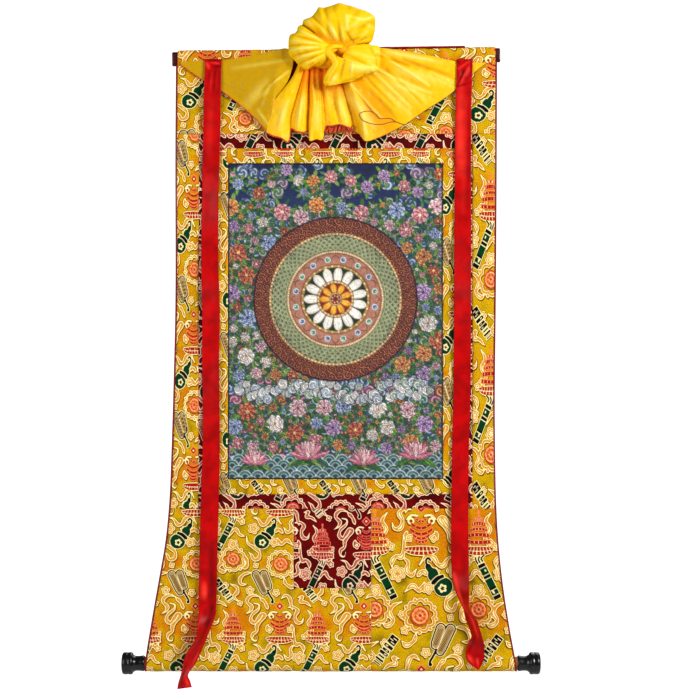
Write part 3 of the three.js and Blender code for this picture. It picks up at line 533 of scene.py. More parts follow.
def fans(near, far, step):
    """Three-sided faces that join an edge of points near to one of points far, where far has a
    point for each step of near: each half of a step fans out from the far point at its end."""
    half = step // 2
    start, end = near[:-1].reshape(-1, step), near[1:].reshape(-1, step)
    a, b = far[:-1, None], far[1:, None]
    first = np.stack(np.broadcast_arrays(start[:, :half], end[:, :half], a), -1)
    middle = np.stack([start[:, half], b[:, 0], a[:, 0]], -1)
    second = np.stack(np.broadcast_arrays(start[:, half:], end[:, half:], b), -1)
    return np.concatenate([first.reshape(-1, 3), middle, second.reshape(-1, 3)])


def facing(points):
    """Unit normals of a grid of points, along down x right."""
    normal = np.cross(np.gradient(points, axis=0), np.gradient(points, axis=1))
    return normal / np.maximum(np.linalg.norm(normal, axis=-1, keepdims=True), 1e-9)


def shell(points, thickness, layers=None, step=1, relief=0.0, back_finish=0):
    """A closed sheet about a grid of points: its face is half of the thickness and the relief to
    the front, and its back, which has a point for each step of the face's, half to the rear."""
    rows, columns = points.shape[:2]
    normal = facing(points)
    relief = np.broadcast_to(relief, (rows, columns))[..., None]
    front = points + normal * (thickness / 2 + relief)
    back = (points - normal * thickness / 2)[::step, ::step]
    f = np.arange(rows * columns).reshape(rows, columns)
    b = f.size + np.arange(back[..., 0].size).reshape(back.shape[:2])
    rim = [(f[0], b[0]), (f[:, -1], b[:, -1]), (f[-1, ::-1], b[-1, ::-1]), (f[::-1, 0], b[::-1, 0])]
    front_quads = faces_of(f).reshape(-1, 4)
    back_quads = faces_of(b)[..., ::-1].reshape(-1, 4)
    finish = np.repeat([0, back_finish], [len(front_quads), len(back_quads)])
    both = {
        name: np.concatenate([v.reshape(f.size, -1), v[::step, ::step].reshape(b.size, -1)])
        for name, v in (layers or {}).items()
    }
    return Skin(
        np.concatenate([front.reshape(-1, 3), back.reshape(-1, 3)]),
        np.concatenate([front_quads, back_quads]),
        np.concatenate([fans(near, far, step) for near, far in rim]),
        finish, both,
    )


def rounded(rings, poles, over=False):
    """A closed surface of rows of points that run round, with a fan of faces from each end row to
    its pole. over turns its faces over, for rows that run round the other way."""
    rows, sides = rings.shape[:2]
    number = np.arange(rows * sides).reshape(rows, sides)
    number = np.concatenate([number, number[:, :1]], 1)
    caps = np.concatenate([
        np.stack([np.full(sides, rows * sides), number[0, 1:], number[0, :-1]], -1),
        np.stack([np.full(sides, rows * sides + 1), number[-1, :-1], number[-1, 1:]], -1),
    ])
    quads = faces_of(number)
    quads, caps = (quads, caps[:, ::-1]) if over else (quads[..., ::-1], caps)
    return Skin(np.concatenate([rings.reshape(-1, 3), poles]), quads, caps, smooth=True)


def tube(path, radius):
    """A round cord of that radius about a path of points. Its circles lie across the path's
    direction t, on the axes t x up and t x (t x up)."""
    t = np.gradient(path, axis=0)
    t /= np.linalg.norm(t, axis=1, keepdims=True)
    side = np.cross(t, np.where(np.abs(t[:, 1:2]) > 0.9, [[1.0, 0, 0]], [[0, 1.0, 0]]))
    side /= np.linalg.norm(side, axis=1, keepdims=True)
    other = np.cross(t, side)
    a = np.arange(CORD_SIDES) * math.tau / CORD_SIDES
    ring = side[:, None] * np.cos(a)[:, None] + other[:, None] * np.sin(a)[:, None]
    return rounded(path[:, None] + ring * radius, path[[0, -1]])


def turned(profile, start, side):
    """A shape turned on the roller's axis: its radius at each distance out from the roller."""
    out, radius = np.array(profile, float).T
    a = np.arange(KNOB_SIDES) * math.tau / KNOB_SIDES
    x = start + side * out[1:-1, None] + 0 * a
    y = -ROLLER_WALL - radius[1:-1, None] * np.sin(a) * side
    z = -ROLLER_DROP + radius[1:-1, None] * np.cos(a)
    poles = [[start + side * out[i], -ROLLER_WALL, -ROLLER_DROP] for i in (0, -1)]
    return rounded(np.stack([x, y, z], -1), poles)


def ball(centre, half, bumps):
    """An ellipsoid with its poles along Y and its radius scaled by 1 + bumps sin 9a sin t."""
    a = np.arange(BALL_COLUMNS) * math.tau / BALL_COLUMNS
    t = np.linspace(0, math.pi, BALL_ROWS + 2)[1:-1, None]
    swell = 1 + bumps * np.sin(9 * a) * np.sin(t)
    x, y, z = np.sin(t) * np.cos(a) * swell, -np.cos(t) + 0 * a, np.sin(t) * np.sin(a) * swell
    poles = np.array([[0, -1, 0], [0, 1, 0]]) * half + centre
    return rounded(np.stack([x, y, z], -1) * half + centre, poles, True)


# kinds of a layer by how many numbers it has for each point
LAYER_KINDS = {1: ("FLOAT", "value"), 3: ("FLOAT_VECTOR", "vector"), 4: ("FLOAT_COLOR", "color")}


def put(name, skins, finishes):
    """Joins skins into one mesh object in metres, with its finishes and its points' layers."""
    counts = np.cumsum([0] + [len(s.points) for s in skins[:-1]])
    points = np.concatenate([s.points for s in skins]) * MM
    quads = np.concatenate([s.quads + c for s, c in zip(skins, counts)])
    tris = np.concatenate([s.tris + c for s, c in zip(skins, counts)])
    mesh = bpy.data.meshes.new(name)
    mesh.vertices.add(len(points))
    mesh.vertices.foreach_set("co", points.ravel().astype(np.float32))
    mesh.loops.add(quads.size + tris.size)
    mesh.polygons.add(len(quads) + len(tris))
    starts = np.concatenate([np.arange(len(quads)) * 4, quads.size + np.arange(len(tris)) * 3])
    mesh.polygons.foreach_set("loop_start", starts.astype(np.int32))
    corners = np.concatenate([quads.ravel(), tris.ravel()])
    mesh.polygons.foreach_set("vertices", corners.astype(np.int32))
    smooth = np.concatenate([np.full(len(quads), True)] + [s.smooth for s in skins])
    finish = np.concatenate([s.finish for s in skins] + [np.zeros(len(tris))])
    mesh.update(calc_edges=True)
    mesh.polygons.foreach_set("use_smooth", smooth)
    mesh.polygons.foreach_set("material_index", finish.astype(np.int32))
    for layer in skins[0].layers:
        values = np.concatenate([s.layers[layer] for s in skins])
        kind, key = LAYER_KINDS[values.shape[1]]
        data = mesh.attributes.new(layer, kind, "POINT").data
        data.foreach_set(key, values.astype(np.float32).ravel())
    for material in finishes:
        mesh.materials.append(material)
    piece = bpy.data.objects.new(name, mesh)
    bpy.context.scene.collection.objects.link(piece)
    return piece


def settle(piece, slot, *nodes):
    """The piece rides on the scroll and stands for those nodes; slot is not used."""
    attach(piece, "root")
    if nodes:
        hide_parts(*nodes)
    return piece


# ---- the brocade's drawing ----


def draw_repeat():
    """The repeat as distances from its woven shapes, in units, below 0 inside them, on a fine grid:
    one for each thread colour. A ribbon's is the distance to a smooth line less its half width, a
    blossom's and a medallion's come from |r - R(a)|, and blocks' from the greater of two widths."""
    gx, gy = np.meshgrid(np.arange(WIDE * FINE) / FINE, np.arange(TALL * FINE) / FINE)
    fields = {ink: np.full(gx.shape, FAR) for ink in INKS}

    def near(cx, cy):
        """Distances across and down from a place, the short way round the repeat."""
        return (gx - cx + WIDE / 2) % WIDE - WIDE / 2, (gy - cy + TALL / 2) % TALL - TALL / 2

    def lay(ink, distance):
        """Joins a shape to those of its ink: of two distances the lesser holds."""
        fields[ink] = np.minimum(fields[ink], distance)

    def along(points, half, tip=None, start=None, wave=0.0):
        """The distance from a smooth line through points, less a half width that tapers."""
        line = threaded(points, 7 * len(points) - 6)
        s = np.linspace(0, 1, len(line))
        width = half * (1 + wave * np.sin(3.1 * s * len(points)))
        if tip is not None:
            width = width + (tip - width) * ease(s, 0.72, 1)
        if start is not None:
            width = width + (start - width) * ease(-s, -0.25, 0)
        x, y = near(*line.mean(0))
        line = line - line.mean(0)
        distance = np.full(gx.shape, FAR)
        for (ax, ay), (bx, by), w in zip(line[:-1], line[1:], width[:-1]):
            dx, dy = bx - ax, by - ay
            t = np.clip(((x - ax) * dx + (y - ay) * dy) / max(dx * dx + dy * dy, 1e-6), 0, 1)
            distance = np.minimum(distance, np.hypot(x - ax - t * dx, y - ay - t * dy) - w)
        return distance

    def disc(ink, cx, cy, rx, ry=None):
        """A filled ellipse: the length of (x/rx, y/ry) less 1, times its lesser radius."""
        x, y = near(cx, cy)
        ry = ry or rx
        lay(ink, (np.hypot(x / rx, y / ry) - 1) * min(rx, ry))

    def ring(ink, cx, cy, radius, half, lobes=0, depth=0.0, turn=0.0):
        """A line round a rim r (1 - k + k |cos(n a / 2)|), which is a circle or has n lobes."""
        x, y = near(cx, cy)
        rim = radius * (1 - depth + depth * np.abs(np.cos(lobes / 2 * (np.arctan2(y, x) + turn))))
        lay(ink, np.abs(np.hypot(x, y) - rim) - half)

    def block(ink, cx, cy, direction, long, across, middle=0.0, side=0.0):
        """A rectangle round a point on an axis, at distances middle along it and side across it."""
        x, y = near(cx, cy)
        dx, dy = direction
        s, c = x * dx + y * dy - middle, -x * dy + y * dx - side
        lay(ink, np.maximum(np.abs(s) - long, np.abs(c) - across))

    for points in WANDERERS:
        lay("cream", along(points, 1.95, 0.4, 0.7, 0.16))
    for n, (cx, cy, radius, lobes) in enumerate(BLOSSOMS):  # filled within R (0.7 + 0.3 |cos|)
        x, y = near(cx, cy)
        petals = np.abs(np.cos(lobes / 2 * (np.arctan2(y, x) + 0.7 * n)))
        lay("cream", np.hypot(x, y) - radius * (0.7 + 0.3 * petals))

    # the gourd, leaning to the right, with a hooked stem, a collar and a flower on its bulb
    disc("green", 0, 0, 7.2)
    disc("green", 8.3, -9.6, 4, 4.8)
    lay("green", along([(9, -12), (11.5, -14.5), (12.8, -17)], 2, 0.5))
    outline = np.abs(fields["green"]) - 0.4
    lay("dark", along([(12.4, -16), (13.9, -18.8), (13.9, -21.6), (12, -22.9), (10.6, -21.2)], 0.8))
    lay("dark", along([(0.6, -8.6), (4.6, -6.6), (8.6, -3)], 1.3))
    lay("light", along([(-1.4, -7.4), (3.2, -5.2), (7.4, -0.8)], 0.42))
    lay("light", along([(2.4, -10), (6.2, -8), (9.8, -4.6)], 0.42))
    ring("light", 0.6, 1.2, 2.9, 0.9, 5, 0.45)
    disc("coral", 0.6, 1.2, 1.2)

    # the bamboo tube: green joints between bands, a dark foot and an open, curling top
    rod, up = (48.2, -6.5), (0.45, -0.893)
    block("green", *rod, up, 14.8, 3, -1.8)
    lay("dark", outline)
    for middle, long in ((-16.3, 1.4), (-8.2, 0.7), (2, 0.7), (11.9, 1.2)):
        block("dark", *rod, up, long, 3, middle)
    for middle in (-14.2, -9.6, 0.4, 3.6, 10, 13.6):
        block("light", *rod, up, 0.42, 3, middle)
    block("light", *rod, up, 1.3, 0.8, -11.4, 0.9)
    block("light", *rod, up, 1, 0.7, 7, -0.9)
    for side, lean in ((-2.3, -1.2), (0.2, 0.6), (2.3, 2)):
        x0, y0 = rod[0] + up[0] * 14.6 - up[1] * side, rod[1] + up[1] * 14.6 + up[0] * side
        lay("dark", along([(x0, y0), (x0 + 1.2, y0 - 2.2), (x0 + lean, y0 - 4.8)], 0.6))

    # the castanets: a fretted block and bars on a slanting axis
    clap, slant = (46.8, 50.2), (0.6, 0.8)
    for ink, middle, side, half, across in (
        ("dark", -9.6, 0, 3.6, 3.6), ("dark", -3.4, 0, 1.3, 4), ("dark", 0.2, 0, 1, 3.2),
        ("dark", 3.2, 0, 1.2, 3.9), ("dark", 6.4, 0, 0.6, 3), ("dark", 9.2, 0, 0.8, 3.8),
        ("dark", 12.4, 0, 0.5, 3.2), ("light", -11.2, 1.2, 0.4, 1.9),
        ("light", -9.4, -1.2, 0.4, 1.8), ("light", -7.6, 1, 0.4, 1.9),
        ("light", -3.4, -1.6, 0.5, 1.2), ("light", 3.2, 1.6, 0.45, 1.2),
        ("light", 0.2, 0.9, 0.35, 1.2),
    ):
        block(ink, *clap, slant, half, across, middle, side)

    # the palm fan: two long leaves in dark and pale outlines, with ribs, and a hooked handle
    for a, b in (((-6, 33.5), (2.6, 51.5)), ((2, 33), (6.6, 46.5))):
        leaf = along([a, b], 4.3, 3.2)
        lay("dark", leaf)
        lay("light", np.abs(leaf + 1.35) - 0.4)
        lay("husk", leaf + 1.9)
        for side in (-1.5, 0.1, 1.7):
            rib = along([(a[0] + side, a[1] + 0.6), (b[0] + side * 0.8, b[1])], 0.3)
            lay("rib", np.maximum(rib, leaf + 1.9))
    lay("dark", along([(5, 49), (8.4, 55.4), (11, 59.8), (10.4, 62.2)], 0.9))
    disc("dark", 10.6, 61.8, 1.5)

    # the two medallions: fine lines on a disc, in a scalloped band hung with curls
    for cx, cy, size, lobes, out, gap in ((-29, 18, 7, 7, 11.8, 0.4),
                                          (19, 23, 7.8, 9, 12.8, 0.2)):
        ring("cream", cx, cy, out, 1.6, lobes, 0.2, gap)
        for n in range(lobes):
            a = 2 * math.pi * (n + 0.5) / lobes - gap
            disc("cream", cx + (out + 0.6) * math.cos(a), cy + (out + 0.6) * math.sin(a), 1.9)
        disc("coral", cx, cy, size)
        for share, half in ((0.93, 0.42), (0.52, 0.3)):
            ring("crimson", cx, cy, size * share, half)
        ring("light", cx, cy, size * 0.74, 0.28)
        for turn in range(4):
            a = turn * math.pi / 4 + gap
            block("crimson", cx, cy, (math.cos(a), math.sin(a)), size * 0.9, 0.26)
        ring("light", cx, cy, size * 0.28, 0.3, 4, 0.4)

    def outlined(y, cx, half, high, sag):
        """A tier of crimson in a coral outline; its edges sag by sag (1 - (x/half)^2)."""
        px, py = near(cx, y)
        dip = sag * np.clip(1 - (px / half) ** 2, 0, 1)
        body = np.maximum(np.abs(px) - half, np.abs(py - dip) - high)
        lay("coral", body - 0.5)
        lay("crimson", body + 0.2)

    # the pagoda: a finial and tiers of windows
    disc("coral", -29, 69.3, 1.3)
    lay("coral", along([(-29, 70), (-29, 73.5)], 0.8))
    for y, half, high, sag in (
        (75.4, 3.4, 1.1, -0.8), (79.4, 5.4, 1.5, -1), (83.8, 6.8, 1.1, -1),
        (88.2, 8.4, 1.5, -0.8), (93, 9.4, 1.4, 0.6),
    ):
        outlined(y, -29, half, high, sag)
        for n in range(-2, 3):
            block("light", -29 + n * half * 0.38, y + sag * 0.7, (0, 1), high * 0.8, 0.3)

    # the vase: a diamond finial, eye scrolls and nested bowls
    for size, ink in ((3.6, "coral"), (2.4, "crimson"), (1.1, "light")):
        block(ink, 18, 66, (0.707, 0.707), size, size)
    for side in (-1, 1):
        ring("cream", 18 + 8.4 * side, 76.6, 2.1, 0.8)
        disc("crimson", 18 + 8.4 * side, 76.6, 0.9)
        for half, tip, scroll in ((0.9, 0.4, ((3, 72.4), (8, 72), (12, 75.4))),
                                  (1.7, 0.8, ((10, 91), (13, 88.6), (11.6, 85)))):
            lay("cream", along([(18 + x * side, y) for x, y in scroll], half, tip))
    for y, half, high, sag in ((74.6, 4.2, 1, 2.4), (78.6, 8.2, 1.2, 3.6), (82.6, 9.4, 1.2, 4.4),
                               (87.2, 7, 1, 3.4), (91.8, 5, 1, 1.6)):
        outlined(y, 18, half, high, sag)
        for n in (-1, 0, 1):
            disc("light", 18 + n * half * 0.55, y + sag * (1 - 0.3 * n * n), 0.5)

    # the two seats: bowls of crimson petals parted by pale lines
    for cx, half in ((-29, 11.6), (18, 13.6)):
        x, y = near(cx, 98.2)
        dip = np.sqrt(np.clip(1 - (x / half) ** 2, 0, 1))
        seat = np.maximum(np.maximum(np.abs(x) - half, y - 1 - 4.4 * dip), 0.4 - 1.6 * dip - y)
        lay("cream", seat - 0.9)
        lay("crimson", seat)
        lay("light", np.maximum(np.abs(y - 0.8 - 1.5 * dip) - 0.34, seat))
        for n in range(-4, 5):
            parting = np.abs(x * (1 - 0.05 * y) - (n + 0.5) * half / 4.6) - 0.36
            lay("light", np.maximum(parting, seat))
    motif = np.minimum.reduce([fields[ink] for ink in RAISED])
    # a painted shadow: the raised motifs moved 0.75 units down and 0.5 to the right
    fields["shade"] = np.roll(motif, (3, 2), (0, 1))
    return {ink: np.clip(field, -FAR, FAR) for ink, field in fields.items()}


REPEAT = draw_repeat()


def woven(x, drop, place):
    """The drawing's distances in millimetres at points of a panel: its grid is read between its
    four nearest samples, from the place and stretch of the panel's row in LAYOUT. The zone, from
    olive at 0 to amber at 1, follows the rows of medallions and seats, with smooth noise on it. It
    is pulled toward plain gold on the right side above the lower panels, and to plain gold in a
    band over the roller, a painted highlight where the cloth rounds the roller."""
    at_x, at_drop, across, down = LAYOUT[place]
    u = ((x - at_x) / (UNIT * across)) % WIDE * FINE
    v = ((drop - at_drop) / (UNIT * down)) % TALL * FINE
    i, j = np.floor(u).astype(int) % (WIDE * FINE), np.floor(v).astype(int) % (TALL * FINE)
    i1, j1 = (i + 1) % (WIDE * FINE), (j + 1) % (TALL * FINE)
    a, b = u - np.floor(u), v - np.floor(v)
    scale = UNIT * (abs(across) + down) / 2
    inks = {}
    for ink, f in REPEAT.items():
        upper, lower = f[j, i] * (1 - a) + f[j, i1] * a, f[j1, i] * (1 - a) + f[j1, i1] * a
        inks[ink] = scale * (upper * (1 - b) + lower * b)
    row = v / FINE
    seats = np.exp(-(((row - 84) / 17) ** 2)) + 0.75 * np.exp(-(((row - 22) / 9) ** 2))
    zone = 0.4 + 0.46 * seats + 0.34 * drift(x, drop, 23) + 0.24 * drift(x, drop, 8.5, 2)
    # painted highlight: the cloth that rounds the roller catches the light, so its ground goes
    # plain gold
    painted_roller_highlight = np.exp(-(((drop - ROLLER_DROP + 6) / 9) ** 2))
    side = 0.6 * ease(x, 150, 190) * (1 - ease(drop, 560, 640))
    inks["zone"] = np.clip(zone + (GOLD_ZONE - zone) * np.maximum(painted_roller_highlight, side), 0, 1)
    return inks


# ---- the picture's drawing ----


PETAL_INKS = (  # a flower's outer petals, inner petals and heart
    ("#c98a9a", "#ead4d0", "#8a2f48"), ("#b6566a", "#e2b0ae", "#f0d9b0"),
    ("#d9d0c4", "#f2eae0", "#c9855a"), ("#bd6a34", "#e6b070", "#7c2420"),
    ("#7386b4", "#bcc8dc", "#2f3c70"), ("#a2402f", "#d98a62", "#f0cf8a"),
    ("#8f6a9a", "#cbb0cf", "#4c2a54"),
)
LEAF_INKS = ("#3f7030", "#5f9434", "#2a5636", "#86a552", "#3d6a5a")
CURL_INKS = (  # ground and crest of the curling clouds, for the sky, the middle and the foot
    (("#33446f", "#8b9cc0"), ("#4b6488", "#b9c6d6"), ("#5c7066", "#a8b8a0"),
     ("#6a5c74", "#bba4b4")),
    (("#6c4a44", "#c09a7c"), ("#566a4c", "#a3b184"), ("#7c3c34", "#c58462"),
     ("#4a5878", "#a2afc4")),
    (("#2f5a50", "#8fb3a0"), ("#7a4636", "#cf9562"), ("#3f5680", "#a9b9cf"),
     ("#7a4a62", "#cf98a4")),
)
BANK_INKS = (("#b4bec0", "#efece6"), ("#9fb0be", "#e6e8e8"), ("#c6c0ba", "#f6f2ea"),
             ("#8fa396", "#d6dccc"))
WHEEL = (  # each band's outer and inner radius, how many, their kind, colour, pale colour, ground
    (113, 93, 56, "curls", "#96452f", "#cf8a5c", "#5a241e"),
    (89, 68, 64, "scales", "#7f8868", "#a9ad88", "#55624a"),
    (64, 48, 16, "jewels", "#b07c68", "#e9e4da", "#8a5648"),
    (44, 26, 15, "petals", "#ded8cc", "#f7f3ea", "#26381f"),
    (22, 9, 9, "petals", "#d98c22", "#f4c65c", "#7a2420"),
)
LOTUSES = ((-112, 420, 20), (-38, 412, 25), (40, 420, 22), (112, 412, 24))  # x, y, size
LOTUS_PETALS = (  # how far they spread, how long they are, colour, vein
    (1.25, 0.62, "#b85c78", "#e8b4b8"), (0.8, 0.56, "#cf7f92", "#f2d2cc"),
    (0.36, 0.5, "#e2a6ac", "#f8ebe0"),
)
AWAY = 9.0  # a distance at which nothing is painted


def draw_picture(x, y):
    """A generic design of a great wheel, flowers, leaves, curling clouds and a lotus pond, painted
    point by point from back to front: a shape covers where its distance is below 0. Returns the
    colours and three layers of distances whose zero lines are drawn as contours."""
    sky = [linear(code) for code in ("#1b2446", "#39426a", "#7d6c7c", "#5c6458", "#2f4a40")]
    colour = through((0, 90, 190, 300, PICTURE_HIGH), sky)(y)
    rings, petals, waves = (np.full(x.shape, AWAY) for _ in range(3))
    random = np.random.default_rng(31)
    middle = 190
    away, angle = np.hypot(x, y - middle), np.arctan2(y - middle, x)

    def spoke(count, shift=0):
        """How far round each point lies between two of that many spokes, from 0 to 1."""
        return np.mod(angle * count / math.tau + shift, 1)

    def window(cx, cy, reach):
        """The part of the grid near a place, and its distances across and down from there."""
        left, right = np.searchsorted(x[0], (cx - reach, cx + reach))
        top, bottom = np.searchsorted(y[:, 0], (cy - reach, cy + reach))
        part = slice(top, bottom), slice(left, right)
        return part, x[part] - cx, y[part] - cy

    def paint(code, distance, soft=0.9, part=...):
        """Covers by 0.5 - distance/soft, kept from 0 to 1: an edge that fades over soft."""
        cover = np.clip(0.5 - distance / soft, 0, 1)[..., None]
        colour[part] += (np.array(linear(code)) - colour[part]) * cover

    def curl(cx, cy, r, ground, crest, n):
        """A lobed disc with two arms sin(2a + 11 d/r) that curl to its middle."""
        part, px, py = window(cx, cy, r + 2)
        d, a = np.hypot(px, py), np.arctan2(py, px)
        rim = r * (0.84 + 0.16 * np.abs(np.cos(2.5 * a + n)))
        arm = np.sin(2 * a * (1 if n % 2 else -1) + 11 * d / r + n) * r / 11
        paint("#161a2a", d - rim, part=part)
        paint(ground, d - rim + 0.8, part=part)
        paint(crest, np.maximum(-arm, d - rim + 1), part=part)
        waves[part] = np.where(d < rim, np.where(d > rim - 1.2, d - rim + 0.4, arm), waves[part])

    def blade(cx, cy, turn, long, wide, ink, vein):
        """A pointed leaf or petal along a direction: |c| less w (1 - (s/l)^2)."""
        part, px, py = window(cx, cy, long + 2)
        s, c = px * math.cos(turn) + py * math.sin(turn), -px * math.sin(turn) + py * math.cos(turn)
        body = np.abs(c) - wide * (1 - (s / long) ** 2)
        body = np.where(np.abs(s) < long, body, AWAY)
        paint(ink, body, part=part)
        paint(vein, np.where(body < -0.4, np.abs(c) - 0.15 * wide, AWAY), 1.2, part)
        petals[part] = np.where(body < 0.8, body, petals[part])

    def flower(cx, cy, r, inks, n):
        """Three rings of lobes, each turned against the last and paler toward its rim."""
        for leaf in range(7):
            a = leaf * 0.9 + n
            blade(cx + (r + 2) * math.cos(a), cy + (r + 2) * math.sin(a), a, 3.6 + 0.35 * r,
                  1.5 + 0.12 * r, LEAF_INKS[(leaf + n) % 5], LEAF_INKS[(leaf + n + 2) % 5])
        part, px, py = window(cx, cy, r + 2)
        d, a = np.hypot(px, py), np.arctan2(py, px)
        for share, lobes in ((1, 4), (0.74, 3.5), (0.5, 3), (0.28, 2.5)):
            rim = share * r * (0.84 + 0.16 * np.abs(np.cos(lobes * a + n * share)))
            paint(inks[1], d - rim, part=part)
            wave = 0.16 * r * np.cos(2 * lobes * a + 2 * n * share)
            paint(inks[0], d - 0.82 * rim + wave, 1.6, part)
            edge = np.where(d > 0.8 * rim, d - rim, AWAY)
            petals[part] = np.where(d < rim + 0.8, edge, petals[part])
        paint(inks[2], d - 0.17 * r, part=part)

    # clouds of curls over all of the cloth, sparse in the sky
    for row in range(33):
        for col in range(20):
            cx = col * 16.4 + (8.2 if row % 2 else 0) - 156 + random.uniform(-1.5, 1.5)
            cy = row * 13.8 + random.uniform(-1.5, 1.5)
            r, pick = random.uniform(8.4, 10.8), random.integers(0, 4)
            level = 0 if cy < 130 else 1 if cy < 290 else 2
            beyond = math.hypot(cx, cy - middle) > 92
            if beyond and (cy > 52 + 0.2 * abs(cx) or random.random() < 0.3):
                curl(cx, cy, r, *CURL_INKS[level][pick], row + col)

    # flowers, packed at random from the largest down
    placed = []
    for r, tries in ((13, 240), (9.5, 500), (6.6, 900), (4.4, 1400), (2.8, 1600)):
        for _ in range(tries):
            cx, cy = random.uniform(-146, 146), random.uniform(6, 398)
            beyond = math.hypot(cx, cy - middle) - 113 - 0.7 * r
            clear = all(math.hypot(cx - a, cy - b) > 0.98 * (r + c) + 1.5 for a, b, c in placed)
            garland = r < 10 and abs(cy - 8 - 26 * abs(math.sin(math.pi * cx / 74))) < 9
            if clear and beyond > 0 and not 300 < cy < 338 and (cy > 58 or garland):
                placed.append((cx, cy, r * random.uniform(0.86, 1)))
    for n, (cx, cy, r) in enumerate(placed):
        flower(cx, cy, r, PETAL_INKS[(n * 5 + n // 7) % 7], n)

    # a bank of pale cloud below the wheel, puff by puff
    for n in range(64):
        lean = random.uniform(-1, 1)
        cx, cy = -134 + 4.25 * n + random.uniform(-2, 2), 318 + 11 * lean + 3 * math.sin(n / 5)
        curl(cx, cy, random.uniform(6, 9.5), *BANK_INKS[n % 4], n)

    # the great wheel: bands of curls, scales, jewels and petals between rows of beads
    paint("#3a2028", away - 115)
    for outer, inner, count, kind, ink, pale, ground in WHEEL:
        half, off = math.pi * away / count, away - (outer + inner) / 2
        side, band = (spoke(count) - 0.5) * 2 * half, np.abs(off) - (outer - inner) / 2
        paint(ground, band)
        if kind == "petals":
            along = np.clip((away - inner) / (outer - inner), 0, 1)
            reach = half * np.sqrt(np.clip(1 - along**2.6, 0, 1)) * 0.92
            shape = np.where(band < 0, np.abs(side) - reach, AWAY)
            paint(ink, shape)
            paint(pale, shape + 0.4 * half, 1.6)
            paint(ink, np.where(shape < 0, np.abs(side) - 0.12 * half, AWAY), 1.2)
        elif kind == "jewels":
            shape = np.hypot(side, off) - 4.6
            paint(ink, band + 1.2)
            paint(pale, shape)
            blue = spoke(count / 2) < 0.5
            paint("#4a6a9a", np.where(blue, shape + 1.5, AWAY))
            paint("#4c8a6a", np.where(blue, AWAY, shape + 1.5))
            paint("#e6eef0", np.hypot(side - 1, off - 1) - 0.8)
            wave = np.abs(off - 5 * np.cos(angle * count)) - 0.7
            shape = np.minimum(shape, np.where(shape > 1, wave, AWAY))
        elif kind == "scales":
            row = np.floor((away - inner) / 4.2)
            shift = spoke(count, 0.5 * np.mod(row, 2)) - 0.5
            shape = np.hypot(shift * 2 * half, away - inner - 4.2 * row) - 4.4
            paint(ink, np.maximum(shape, band))
            paint(pale, np.maximum(np.abs(shape + 1.1) - 0.6, band), 1.2)
        else:
            off = off - 5 * np.sign(off)
            shape = np.sin(2 * np.arctan2(off, side) + 1.9 * np.hypot(off, side)) * 0.9
            paint(ink, np.where(band < -0.5, shape, AWAY))
            paint(pale, np.where(band < -0.5, shape + 0.6, AWAY), 1.2)
        rings = np.where(band < 0, shape, rings)
        row = np.abs(away - inner + 2)
        bead = (spoke(2 * count) - 0.5) * math.pi * (inner - 2) / count
        paint("#b08a4c", row - 2)
        paint("#e4d6bc", np.hypot(bead, row) - 1.2)
        rings = np.where(row < 2.6, row - 2, rings)
    paint("#7a2430", away - 7.4)
    paint("#e8c987", np.hypot(away - 4.6, 2 * np.sin(3.5 * angle)) - 1.3)

    # a pond at the foot: round scales of water, lotus leaves and lotus flowers
    for row in range(6):
        cy = 446 - (5 - row) * 7.5
        scale = np.hypot(np.mod(x + (9 if row % 2 else 0), 18) - 9, y - cy - 7) - 9.6
        inside = (scale < 0) & (y > 404 + 3 * np.sin(x / 14))
        for ink, rim in (("#c2cbc8", 0), ("#35605e", 1.5), ("#8fa9ae", 4), ("#2b4c55", 5.4)):
            paint(ink, np.where(inside, scale + rim, AWAY))
        waves = np.where(inside, scale + 1.5, waves)
    for n, (cx, cy, size) in enumerate(LOTUSES):
        for k in range(-3, 4):
            blade(cx + 0.8 * size * k / 3, cy + 0.24 * size, 0.2 * k, 0.5 * size, 0.14 * size,
                  LEAF_INKS[(n + k) % 5], "#24452c")
        for spread, reach, ink, pale in LOTUS_PETALS:
            for k in (-1, -0.5, 0.5, 1, 0):
                a = -math.pi / 2 + spread * k
                blade(cx + 0.5 * size * math.cos(a), cy + 0.5 * size * math.sin(a), a,
                      reach * size, 0.17 * size, ink, pale)

    edge = np.minimum.reduce([PICTURE_WIDE / 2 - np.abs(x), y, PICTURE_HIGH - y])
    paint("#141830", edge - 1.6)
    mottle = 1 + 0.2 * drift(x, y, 1.9) + 0.12 * drift(x, y, 5.3, 2) + 0.08 * drift(x, y, 26, 3)
    colour[..., :3] *= mottle[..., None]
    return np.clip(colour, 0, 1), {"rings": rings, "petals": petals, "waves": waves}


# ---- finishes ----

BAND = 0.314  # distance between the bands of a wave texture whose scale is 1
COVER = {"data_type": "RGBA"}  # mixes the colour of input 7 over that of input 6 by input 0
DARKEN = {"data_type": "RGBA", "blend_type": "MULTIPLY"}


def add(tree, kind, inputs, **settings):
    """Adds a shader node of that kind with its settings, and sets or links its inputs, given in
    their order, or by name or number. A node given for an input is linked from its first live
    output, and a text from the layer of that name on the piece's points. stops are the places and
    colours of a ramp."""
    node = tree.nodes.new("ShaderNode" + kind)
    stops = settings.pop("stops", ())
    for name, value in settings.items():
        setattr(node, name, value)
    for _ in stops[2:]:
        node.color_ramp.elements.new(1)
    for number, (place, colour) in enumerate(stops):
        element = node.color_ramp.elements[number]
        element.position, element.color = place, colour
    for key, value in inputs.items() if isinstance(inputs, dict) else enumerate(inputs):
        socket = node.inputs[key]
        if isinstance(value, str):
            output = {"VALUE": "Fac", "VECTOR": "Vector", "RGBA": "Color"}[socket.type]
            value = add(tree, "Attribute", {}, attribute_name=value).outputs[output]
        if isinstance(value, bpy.types.Node):
            value = next(o for o in value.outputs if o.enabled)
        if isinstance(value, bpy.types.NodeSocket):
            tree.links.new(value, socket)
        else:
            socket.default_value = value
    return node


def tint(name):
    """A linear colour from a hex value, or from the name of one of the scroll's colours."""
    return linear(name) if name[0] == "#" else list(getattr(bpy.context.scene.scroll_colours, name))


